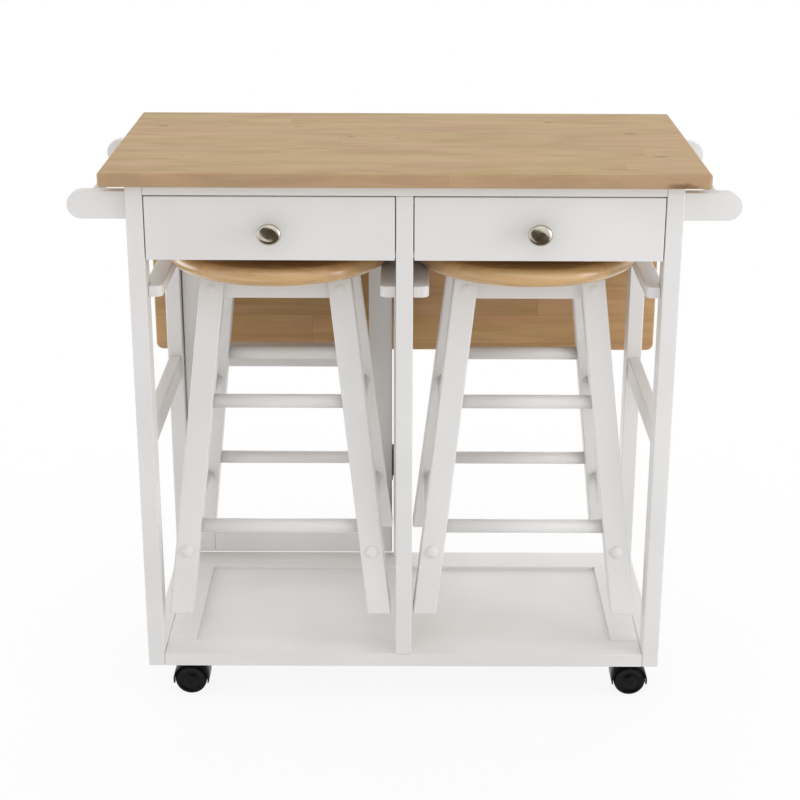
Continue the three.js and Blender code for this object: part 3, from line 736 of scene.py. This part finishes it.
def set_world():
    """Even soft light, seen as plain white."""
    world = bpy.data.worlds.new("studio")
    bpy.context.scene.world = world
    world.use_nodes = True
    tree = world.node_tree
    tree.nodes.clear()
    lit = add(tree, "Background", {"Color": (0.97, 0.98, 1.0, 1), "Strength": 0.88})
    white = add(tree, "Background", {"Color": (1, 1, 1, 1), "Strength": 1.0})
    mixed = add(tree, "MixShader", {
        0: seen_rays(tree), 1: lit.outputs["Background"], 2: white.outputs["Background"],
    })
    add(tree, "OutputWorld", {"Surface": mixed.outputs["Shader"]})


def softbox(name, place, target, width, height, watts):
    """A soft rectangular lamp aimed at a point."""
    data = bpy.data.lights.new(name, "AREA")
    data.shape = "RECTANGLE"
    data.size, data.size_y = width, height
    data.energy = watts
    lamp = bpy.data.objects.new(name, data)
    aim = (Vector(target) - Vector(place)).to_track_quat("-Z", "Y").to_matrix().to_4x4()
    lamp.matrix_world = Matrix.Translation(place) @ aim
    bpy.context.scene.collection.objects.link(lamp)


def set_lights():
    softbox("right_softbox", (2.4, -1.1, 1.0), (0, 0, 0.3), 1.2, 1.4, 15)
    softbox("left_softbox", (-2.2, 0.4, 0.55), (0, 0, 0.1), 1.2, 0.9, 9)
    softbox("rear_softbox", (0.3, 2.2, 0.55), (0, 0, 0.1), 2.6, 0.9, 12.5)
    softbox("front_softbox", (0.3, -1.7, 3.0), (0, 0, 0.4), 2.2, 1.6, 2.5)


# ---- operators ---------------------------------------------------------------------


class ISLAND_OT_stage(bpy.types.Operator):
    """Adds the camera, the pale floor, the dark flags, the world and the soft lights"""

    bl_idname = "island.stage"
    bl_label = "Stage"

    def execute(self, context):
        context.scene.view_settings.view_transform = "Standard"
        set_camera()
        set_floor()
        set_flags()
        set_world()
        set_lights()
        return {"FINISHED"}


class ISLAND_OT_frame_boards(bpy.types.Operator):
    """Adds the legs, posts, rails, aprons, divider and hanger boards, painted and with eased edges"""

    bl_idname = "island.frame_boards"
    bl_label = "Frame boards"

    def execute(self, context):
        plain = {
            "front_center_post": "front_middle_post", "rear_center_post": "rear_middle_post",
            "front_top_rail": "top_rail_front",
        }
        for side, _ in SIDES:
            for end, _ in ENDS:
                plain[f"leg_{end}_{side}"] = f"corner_post_{end}_{side}"
            plain[f"side_mid_rail_{side}"] = f"middle_rail_{side}"
            plain[f"side_bottom_rail_{side}"] = f"bottom_rail_{side}"
        for node, name in plain.items():
            piece(name, board(*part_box(node)), "satin_paint", "frame", node)
        shaped = {"back_apron": "apron_back", "drawer_divider": "divider_with_ledges"}
        for side, _ in SIDES:
            shaped[f"side_apron_{side}"] = f"apron_with_ledge_{side}"
            shaped[f"stool_hanger_{side}"] = f"hanger_board_{side}"
        shaped["stool_hanger_center"] = "hanger_board_center"
        for node, name in shaped.items():
            piece(name, refined(node), "satin_paint", "frame", node)
        return {"FINISHED"}


class ISLAND_OT_base(bpy.types.Operator):
    """Adds the base as four boards round a sunk panel"""

    bl_idname = "island.base"
    bl_label = "Base"

    def execute(self, context):
        low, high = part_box("base_shelf")
        rail, rear_rail, sunk, lift, tongue, gap = 0.044, 0.055, 0.005, 0.006, 0.002, 0.0002
        left, right = low.x + rail, high.x - rail
        front, rear = low.y + rail, high.y - rear_rail
        parts = {
            "base_rail_front": (low, (high.x, front, high.z)),
            "base_rail_rear": ((low.x, rear, low.z), high),
            "base_rail_left": ((low.x, front + gap, low.z), (left, rear - gap, high.z)),
            "base_rail_right": ((right, front + gap, low.z), (high.x, rear - gap, high.z)),
        }
        for name, corners in parts.items():
            rail_board = board(*corners, radius=sizes().fine_ease)
            piece(name, rail_board, "satin_paint", "frame", "base_shelf")
        panel = block(
            (left - tongue, front - tongue, low.z + lift),
            (right + tongue, rear + tongue, high.z - sunk),
        )
        piece("base_panel", panel, "satin_paint", "frame", "base_shelf")
        return {"FINISHED"}


class ISLAND_OT_towel_racks(bpy.types.Operator):
    """Adds both towel racks: two round-ended arms and a rod each"""

    bl_idname = "island.towel_racks"
    bl_label = "Towel racks"

    def execute(self, context):
        thick, back, rod, tenon = 0.018, 0.030, 0.008, 0.002
        arm_ease, round_share = 0.0014, 0.999  # the share keeps a tip's two rounds apart
        for side, way in SIDES:
            node = f"towel_rack_{side}"
            low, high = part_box(node)
            tip = low.x if way < 0 else high.x
            radius = (high.z - low.z) / 2
            middle = (high.z + low.z) / 2
            for end, start in (("front", low.y), ("rear", high.y - thick)):
                arm = block((low.x, start, low.z), (high.x, start + thick, high.z))
                corners = [
                    e for e in arm.edges
                    if runs_along(e, 1) and abs(e.verts[0].co.x - tip) < arm_ease
                ]
                ease(arm, corners, radius * round_share, 14)
                rims = [e for e in arm.edges if e.calc_face_angle(0) > SHARP]
                ease(arm, rims, arm_ease, 2)
                piece(f"towel_arm_{end}_{side}", arm, "satin_paint", "frame", node)
            x, inset = tip - way * back, thick - tenon
            bar = dowel((x, low.y + inset, middle), (x, high.y - inset, middle), rod)
            piece(f"towel_rod_{side}", bar, "satin_paint", "frame", node)
        return {"FINISHED"}


def slab(node, rounds):
    """The worktop or leaf: a block whose chosen corners are rounded, and then all its edges.

    rounds holds pairs of a radius and a test of the edges that get it."""
    shape = block(*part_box(node))
    for radius, chosen in rounds:
        ease(shape, [e for e in shape.edges if chosen(e)], radius, 6)
    rims = [e for e in shape.edges if e.calc_face_angle(0) > SHARP]
    ease(shape, rims, sizes().worktop_ease, 4)
    return shape


class ISLAND_OT_worktop(bpy.types.Operator):
    """Adds the staved worktop and its drop leaf"""

    bl_idname = "island.worktop"
    bl_label = "Worktop and leaf"

    def execute(self, context):
        s = sizes()
        top = slab("worktop", [(s.worktop_corner, lambda e: runs_along(e, 2))])
        piece("worktop_slab", top, "worktop_wood", "frame", "worktop")
        low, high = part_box("leaf")
        middle = (low.z + high.z) / 2
        leaf = slab("leaf", [
            (s.leaf_corner, lambda e: runs_along(e, 1) and e.verts[0].co.z < middle),
            (s.worktop_corner, lambda e: runs_along(e, 1) and e.verts[0].co.z > middle),
        ])
        piece("leaf_slab", leaf, "leaf_wood", "leaf", "leaf")
        return {"FINISHED"}


class ISLAND_OT_leaf_hinges(bpy.types.Operator):
    """Adds the leaf's hinges with plates, knuckles, pins and screws"""

    bl_idname = "island.leaf_hinges"
    bl_label = "Leaf hinges"

    def execute(self, context):
        _, pin_y, pin_z = joint_place("leaf_fold")
        plate, pin_radius, pin_round, proud = 0.002, 0.0016, 0.0004, 0.0008
        for side, _ in SIDES:
            fixed, moving = (f"leaf_hinge_{kind}_{side}" for kind in ("fixed", "moving"))
            low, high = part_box(fixed)
            middle = (low.x + high.x) / 2
            flap = pressed_plate(fixed)
            piece(f"leaf_hinge_upper_{side}", flap, "rubbed_bronze", "frame", fixed)
            under = high.z - plate
            for i, (dx, dy) in enumerate(((-0.016, -0.010), (0.016, -0.010), (0, -0.021))):
                head = screw_head((middle + dx, pin_y + dy, under), (0, 0, -1))
                piece(f"leaf_screw_upper_{side}_{i}", head, "rubbed_bronze", "frame")
            flap = pressed_plate(moving)
            piece(f"leaf_hinge_lower_{side}", flap, "rubbed_bronze", "leaf", moving)
            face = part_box(moving)[1].y - plate
            for i, (dx, dz) in enumerate(((-0.016, -0.011), (0.016, -0.011), (0, -0.022))):
                head = screw_head((middle + dx, face, pin_z + dz), (0, -1, 0))
                piece(f"leaf_screw_lower_{side}_{i}", head, "rubbed_bronze", "leaf")
            start, end = (low.x - proud, pin_y, pin_z), (high.x + proud, pin_y, pin_z)
            pin = dowel(start, end, pin_radius, 20, pin_round)
            piece(f"leaf_hinge_pin_{side}", pin, "rubbed_bronze", "frame")
        return {"FINISHED"}


class ISLAND_OT_gate(bpy.types.Operator):
    """Adds the gate under the leaf: two stiles, three rails and two butt hinges"""

    bl_idname = "island.gate"
    bl_label = "Gate"

    def execute(self, context):
        low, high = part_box("gate_frame")
        stile, rail, middle_rail_at, gap = 0.039, 0.037, 0.439, 0.0001
        parts = {
            "gate_stile_free": (low, (low.x + stile, high.y, high.z)),
            "gate_stile_hinged": ((high.x - stile, low.y, low.z), high),
        }
        left, right = low.x + stile + gap, high.x - stile - gap
        for name, start in (("bottom", low.z), ("middle", middle_rail_at), ("top", high.z - rail)):
            parts[f"gate_rail_{name}"] = ((left, low.y, start), (right, high.y, start + rail))
        for name, corners in parts.items():
            piece(name, board(*corners), "satin_paint", "gate", "gate_frame")
        for level in LEVELS:
            self.butt_hinge(level)
        return {"FINISHED"}

    def butt_hinge(self, level):
        """A butt hinge with a cap at each end of its pin, and rings of black nylon between its
        knuckles that paint the shade in the gaps there.
        """
        node = f"gate_hinge_{level}"
        low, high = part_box(node)
        piece(f"gate_butt_{level}", pressed_plate(node), "rubbed_bronze", "gate", node)
        knuckles, knuckle, gap_shade_radius, half_gap_shade = 5, 0.0035, 0.00355, 0.0002
        cap, cap_radius, cap_round = 0.0012, 0.0026, 0.0005
        x, y = high.x - knuckle, high.y - knuckle
        # black rings at the joints between knuckles: painted shade where the gaps between the
        # knuckles would be dark
        for i in range(1, knuckles):
            z = low.z + (high.z - low.z) * i / knuckles
            gap_shade_ring = dowel((x, y, z - half_gap_shade), (x, y, z + half_gap_shade), gap_shade_radius, 24)
            piece(f"gate_knuckle_line_{level}_{i}", gap_shade_ring, "moulded_nylon", "gate")
        for name, start in (("low", low.z - cap), ("high", high.z)):
            tip = dowel((x, y, start), (x, y, start + cap), cap_radius, 24, cap_round)
            piece(f"gate_pin_{name}_{level}", tip, "rubbed_bronze", "gate")


class ISLAND_OT_drawers(bpy.types.Operator):
    """Adds both drawers: front, box of five boards, and knob"""

    bl_idname = "island.drawers"
    bl_label = "Drawers"

    def execute(self, context):
        for side, _ in SIDES:
            body = f"drawer_{side}"
            node = f"drawer_front_{side}"
            front = board(*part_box(node), radius=sizes().fine_ease)
            piece(f"front_board_{side}", front, "satin_paint", body, node)
            self.box_boards(side, body)
            self.knob(side, body)
        return {"FINISHED"}

    def box_boards(self, side, body):
        """Four plain boards round a bottom that is let into them."""
        wall, floor, groove, lift, gap, box_ease = 0.012, 0.005, 0.004, 0.001, 0.0001, 0.0007
        node = f"drawer_box_{side}"
        low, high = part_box(node)
        left, right = low.x + wall, high.x - wall
        front, back = low.y + wall, high.y - wall
        boards = {
            "side_near": (low, (left, high.y, high.z)),
            "side_far": ((right, low.y, low.z), high),
            "lining_front": ((left + gap, low.y, low.z), (right - gap, front, high.z)),
            "lining_back": ((left + gap, back, low.z), (right - gap, high.y, high.z)),
            "bottom": (
                (left - groove, front - groove, low.z + lift),
                (right + groove, back + groove, low.z + floor),
            ),
        }
        for name, corners in boards.items():
            box_board = board(*corners, radius=box_ease)
            piece(f"drawer_{name}_{side}", box_board, "bare_poplar", body, node)

    def knob(self, side, body):
        """A spun knob on a waisted neck, brought to the oval of the frame's knob."""
        node = f"drawer_knob_{side}"
        low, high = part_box(node)
        wide, tall, reach = high.x - low.x, high.z - low.z, high.y - low.y
        outline = (  # share of the knob's radius, and distance from the drawer's front
            (0, 0), (0.50, 0), (0.52, 0.0009), (0.46, 0.0022), (0.37, 0.0045), (0.36, 0.0085),
            (0.42, 0.0115), (0.62, 0.0134), (0.86, 0.0146), (0.955, 0.0162), (0.99, 0.0180),
            (1, 0.0195), (0.985, 0.0212), (0.93, 0.0228), (0.83, 0.0242), (0.68, 0.0254),
            (0.50, 0.0262), (0.32, 0.02665), (0.16, 0.02690), (0, reach),
        )
        centre = Vector(((low.x + high.x) / 2, high.y, (low.z + high.z) / 2))
        shape = turned([(share * wide / 2, out) for share, out in outline], centre, (0, -1, 0), 64)
        bmesh.ops.scale(
            shape, verts=shape.verts, vec=(1, 1, tall / wide), space=Matrix.Translation(-centre),
        )
        piece(f"knob_{side}", shape, "spun_nickel", body, node)


class ISLAND_OT_stools(bpy.types.Operator):
    """Adds both stools: seat, apron boards, four splayed legs, eight rungs, plugs and domed caps"""

    bl_idname = "island.stools"
    bl_label = "Stools"

    def execute(self, context):
        for side, _ in SIDES:
            self.one_stool(side)
        return {"FINISHED"}

    def one_stool(self, side):
        s = sizes()
        body = f"stool_{side}"
        seat_low, seat_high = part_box(f"stool_{side}_seat")
        middle = (seat_low + seat_high) / 2
        under = seat_low.z
        seat = self.round_seat(seat_low, seat_high)
        piece(f"seat_{side}", seat, "seat_wood", body, f"stool_{side}_seat")

        apron_low, apron_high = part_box(f"stool_{side}_apron")
        self.apron_boards(side, body, apron_low, apron_high)

        legs_low, legs_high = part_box(f"stool_{side}_legs_front")
        foot, top = legs_low.z, legs_high.z
        foot_spread = legs_high.x - legs_low.x
        half_leg, tenon = s.stool_leg / 2, 0.003

        def offset(height):
            """How far a leg's middle is from the stool's at a height, along X and Y alike."""
            down = (under - height) / (under - foot)
            spread = s.stool_top_spread + (foot_spread - s.stool_top_spread) * down
            return (spread - s.stool_leg) / 2

        slope = (offset(top) - offset(foot)) / (top - foot)
        start = offset(foot) - slope * foot
        for end, way_y in ENDS:
            node = f"stool_{side}_legs_{end}"
            for leg_side, way_x in SIDES:
                leg = board((-half_leg, -half_leg, foot), (half_leg, half_leg, top), s.leg_ease)
                lean = Matrix((
                    (1, 0, way_x * slope, middle.x + way_x * start),
                    (0, 1, way_y * slope, middle.y + way_y * start),
                    (0, 0, 1, 0),
                    (0, 0, 0, 1),
                ))
                bmesh.ops.transform(leg, matrix=lean, verts=leg.verts)
                piece(f"stool_leg_{end}_{leg_side}_{side}", leg, "satin_paint", body, node)

        rung_z = {}
        for level in LEVELS:
            for rung_side, way_x in SIDES:
                node = f"stool_{side}_rung_{level}_{rung_side}"
                low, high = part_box(node)
                z = rung_z[level] = (low.z + high.z) / 2
                x = middle.x + way_x * offset(z)
                reach = offset(z) - half_leg + tenon
                bar = dowel((x, middle.y - reach, z), (x, middle.y + reach, z), s.rung_radius)
                piece(f"stool_side_rung_{level}_{rung_side}_{side}", bar, "satin_paint", body, node)

        caps = (
            ("dome", self.dome_profile(), rung_z["lower"]),
            ("plug", self.plug_profile(), (apron_low.z + apron_high.z) / 2),
        )
        for end, way_y in ENDS:
            node = f"stool_{side}_legs_{end}"
            for level, rise in zip(LEVELS, CROSS_RUNG_RISES[end]):
                z = foot + rise
                y = middle.y + way_y * offset(z)
                reach = offset(z) - half_leg + tenon
                bar = dowel((middle.x - reach, y, z), (middle.x + reach, y, z), s.rung_radius)
                piece(f"stool_cross_rung_{level}_{end}_{side}", bar, "satin_paint", body, node)
            out = Vector((0, way_y, -slope)).normalized()
            for leg_side, way_x in SIDES:
                for kind, profile, z in caps:
                    x, y = middle.x + way_x * offset(z), middle.y + way_y * (offset(z) + half_leg)
                    cap = turned(profile, (x, y, z), out, 32)
                    piece(f"stool_{kind}_{end}_{leg_side}_{side}", cap, "satin_paint", body)

    def round_seat(self, low, high):
        """A round seat between two corners, its rim a half circle."""
        radius, thick, steps = (high.x - low.x) / 2, high.z - low.z, 16
        r, inner = thick / 2, radius / 2
        profile = [(0, 0), (inner, 0)]
        for i in range(steps + 1):
            angle = -QUARTER + math.pi * i / steps
            profile.append((radius - r + r * math.cos(angle), r + r * math.sin(angle)))
        profile += [(inner, thick), (0, thick)]
        middle = (low + high) / 2
        return turned(profile, (middle.x, middle.y, low.z), (0, 0, 1), 96)

    def apron_boards(self, side, body, low, high):
        """Four boards under the seat, the front and rear ones over the ends of the others."""
        wall = 0.014
        left, right = low.x + wall, high.x - wall
        front, rear = low.y + wall, high.y - wall
        boards = {
            "front": (low, (high.x, front, high.z)),
            "rear": ((low.x, rear, low.z), high),
            "left": ((low.x, front, low.z), (left, rear, high.z)),
            "right": ((right, front, low.z), (high.x, rear, high.z)),
        }
        node = f"stool_{side}_apron"
        for name, corners in boards.items():
            piece(f"stool_apron_{name}_{side}", board(*corners), "satin_paint", body, node)

    def dome_profile(self):
        """A domed bolt cap, let a little into the leg."""
        s = sizes()
        r, high, edge, sunk, steps = s.dome_radius, s.dome_height, 0.0006, 0.001, 8
        profile = [(0, -sunk), (r, -sunk), (r, edge)]
        for i in range(1, steps):
            angle = i * QUARTER / steps
            profile.append((r * math.cos(angle), edge + (high - edge) * math.sin(angle)))
        return [*profile, (0, high)]

    def plug_profile(self):
        """A flat plug over a bolt, let a little into the leg, with its edge broken."""
        r, high, edge, sunk = sizes().plug_radius, 0.0004, 0.0001, 0.001
        return [(0, -sunk), (r, -sunk), (r, edge), (r - high, high), (0, high)]


class ISLAND_OT_casters(bpy.types.Operator):
    """Adds the four casters: hood, web, hub and swivel boss, twin wheels, and stem"""

    bl_idname = "island.casters"
    bl_label = "Casters"

    def execute(self, context):
        for side, _ in SIDES:
            for end, _ in ENDS:
                self.one_caster(f"{end}_{side}")
        return {"FINISHED"}

    def one_caster(self, spot):
        axle, stem = joint_place(f"wheel_spin_{spot}"), joint_place(f"caster_swivel_{spot}")
        housing, wheels = f"caster_housing_{spot}", f"caster_wheels_{spot}"
        swing, roll = f"caster_{spot}", f"wheels_{spot}"
        wall, lap, half_web, hub_radius = 0.0022, 0.0006, 0.0035, 0.009
        low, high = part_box(wheels)
        outer, radius = (high.y - low.y) / 2, (high.x - low.x) / 2
        low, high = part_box(housing)
        hood, top = (high.x - low.x) / 2, high.z
        inside = hood - wall
        across = Vector((0, half_web, 0))
        for name, shape in {
            "hood": self.fender(axle, inside, hood, outer),
            "web": self.web(axle, inside + lap, half_web),
            "hub": dowel(axle - across, axle + across, hub_radius),
            "boss": self.boss(stem, axle, (inside + hood) / 2, top),
        }.items():
            piece(f"caster_{name}_{spot}", shape, "moulded_nylon", swing, housing)
        profile = self.wheel_profile(radius, outer)
        for i, way in enumerate((-1, 1)):
            wheel = turned(profile, axle, (0, way, 0), 56)
            nodes = (wheels,) if i == 0 else ()
            piece(f"caster_wheel_{spot}_{i}", wheel, "moulded_nylon", roll, *nodes)
        in_boss, in_base, stem_radius = 0.004, 0.002, 0.0045
        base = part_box("base_shelf")[0].z
        start, end = (stem.x, stem.y, top - in_boss), (stem.x, stem.y, base + in_base)
        pin = dowel(start, end, stem_radius, 28)
        piece(f"caster_stem_{spot}", pin, "zinc_plate", swing)

    def wheel_profile(self, r, outer):
        """One wheel from the web outwards: a rounded tread and a side dished round its hub."""
        bore, inner = 0.004, 0.0041
        return [
            (bore, inner), (0.62 * r, inner), (0.66 * r, inner + 0.001), (0.86 * r, inner + 0.0004),
            (0.93 * r, inner + 0.0008), (0.985 * r, inner + 0.0024), (r, inner + 0.005),
            (r, outer - 0.0052), (0.985 * r, outer - 0.0026), (0.94 * r, outer - 0.0010),
            (0.87 * r, outer - 0.0003), (0.80 * r, outer - 0.0002), (0.76 * r, outer - 0.0016),
            (0.36 * r, outer - 0.0018), (0.33 * r, outer - 0.0003), (0.27 * r, outer), (0, outer),
        ]

    def fender(self, axle, inside, outside, half):
        """The hood over both wheels: a band round the axle."""
        bead, steps, crisp = 0.0014, 44, math.radians(50)
        section = (
            (inside, -half), (outside - bead, -half), (outside, bead - half),
            (outside, half - bead), (outside - bead, half), (inside, half),
        )
        shape = bmesh.new()
        face = shape.faces.new([shape.verts.new((r, y, 0)) for r, y in section])
        bmesh.ops.spin(
            shape, geom=[face, *face.edges, *face.verts], axis=(0, -1, 0), cent=(0, 0, 0),
            angle=math.pi + 2 * SKIRT_DROOP, steps=steps, use_merge=False,
        )
        droop = Matrix.Rotation(SKIRT_DROOP, 3, "Y")
        bmesh.ops.rotate(shape, verts=shape.verts, cent=(0, 0, 0), matrix=droop)
        bmesh.ops.translate(shape, verts=shape.verts, vec=axle)
        for edge in shape.edges:
            edge.smooth = len(edge.link_faces) == 2 and edge.calc_face_angle(0) < crisp
        for face in shape.faces:
            face.smooth = True
        return shape

    def web(self, axle, radius, half):
        """The upright plate between the wheels that carries the axle."""
        steps = 40
        shape = bmesh.new()
        rim = []
        for i in range(steps + 1):
            angle = -SKIRT_DROOP + (math.pi + 2 * SKIRT_DROOP) * i / steps
            rim.append(shape.verts.new((radius * math.cos(angle), -half, radius * math.sin(angle))))
        made = bmesh.ops.extrude_face_region(shape, geom=[shape.faces.new(rim)])
        moved = [v for v in made["geom"] if isinstance(v, bmesh.types.BMVert)]
        bmesh.ops.translate(shape, verts=moved, vec=(0, 2 * half, 0))
        bmesh.ops.translate(shape, verts=shape.verts, vec=axle)
        return shape

    def boss(self, stem, axle, hood, top):
        """The swivel boss, its foot cut to the hood's round."""
        r, tall = 0.011, 0.0215
        profile = [(0, 0), (r, 0), (r, 0.02), (r - 0.0004, 0.0211), (r - 0.0015, tall), (0, tall)]
        shape = turned(profile, (stem.x, stem.y, top - tall), (0, 0, 1), 40)
        for vert in shape.verts:
            if vert.co.z < top - tall / 2:
                vert.co.z = axle.z + math.sqrt(hood ** 2 - (vert.co.x - axle.x) ** 2)
        for edge in shape.edges:
            edge.smooth = edge.calc_face_angle(0) < SHARP
        return shape


CLASSES_IN_ORDER = (
    ISLAND_OT_stage,
    ISLAND_OT_frame_boards,
    ISLAND_OT_base,
    ISLAND_OT_towel_racks,
    ISLAND_OT_worktop,
    ISLAND_OT_leaf_hinges,
    ISLAND_OT_gate,
    ISLAND_OT_drawers,
    ISLAND_OT_stools,
    ISLAND_OT_casters,
)


class ISLAND_PT_panel(bpy.types.Panel):
    """Lists the island's pieces, sizes and colours"""

    bl_idname = "ISLAND_PT_panel"
    bl_label = "Kitchen island"
    bl_space_type = "VIEW_3D"
    bl_region_type = "UI"
    bl_category = "Island"

    def draw(self, context):
        layout = self.layout
        for operator in CLASSES_IN_ORDER:
            layout.operator(operator.bl_idname, text=operator.bl_label)
        for group in (sizes(), colours()):
            box = layout.box()
            for name in group.__annotations__:
                box.prop(group, name)


REGISTERED = (IslandSizes, IslandColours, *CLASSES_IN_ORDER, ISLAND_PT_panel)


def register():
    for item in REGISTERED:
        bpy.utils.register_class(item)
    bpy.types.Scene.island_sizes = PointerProperty(type=IslandSizes)
    bpy.types.Scene.island_colours = PointerProperty(type=IslandColours)


def unregister():
    del bpy.types.Scene.island_sizes
    del bpy.types.Scene.island_colours
    for item in reversed(REGISTERED):
        bpy.utils.unregister_class(item)


def main():
    register()
    for operator in CLASSES_IN_ORDER:
        group, name = operator.bl_idname.split(".")
        getattr(getattr(bpy.ops, group), name)()


if __name__ == "__main__":
    main()
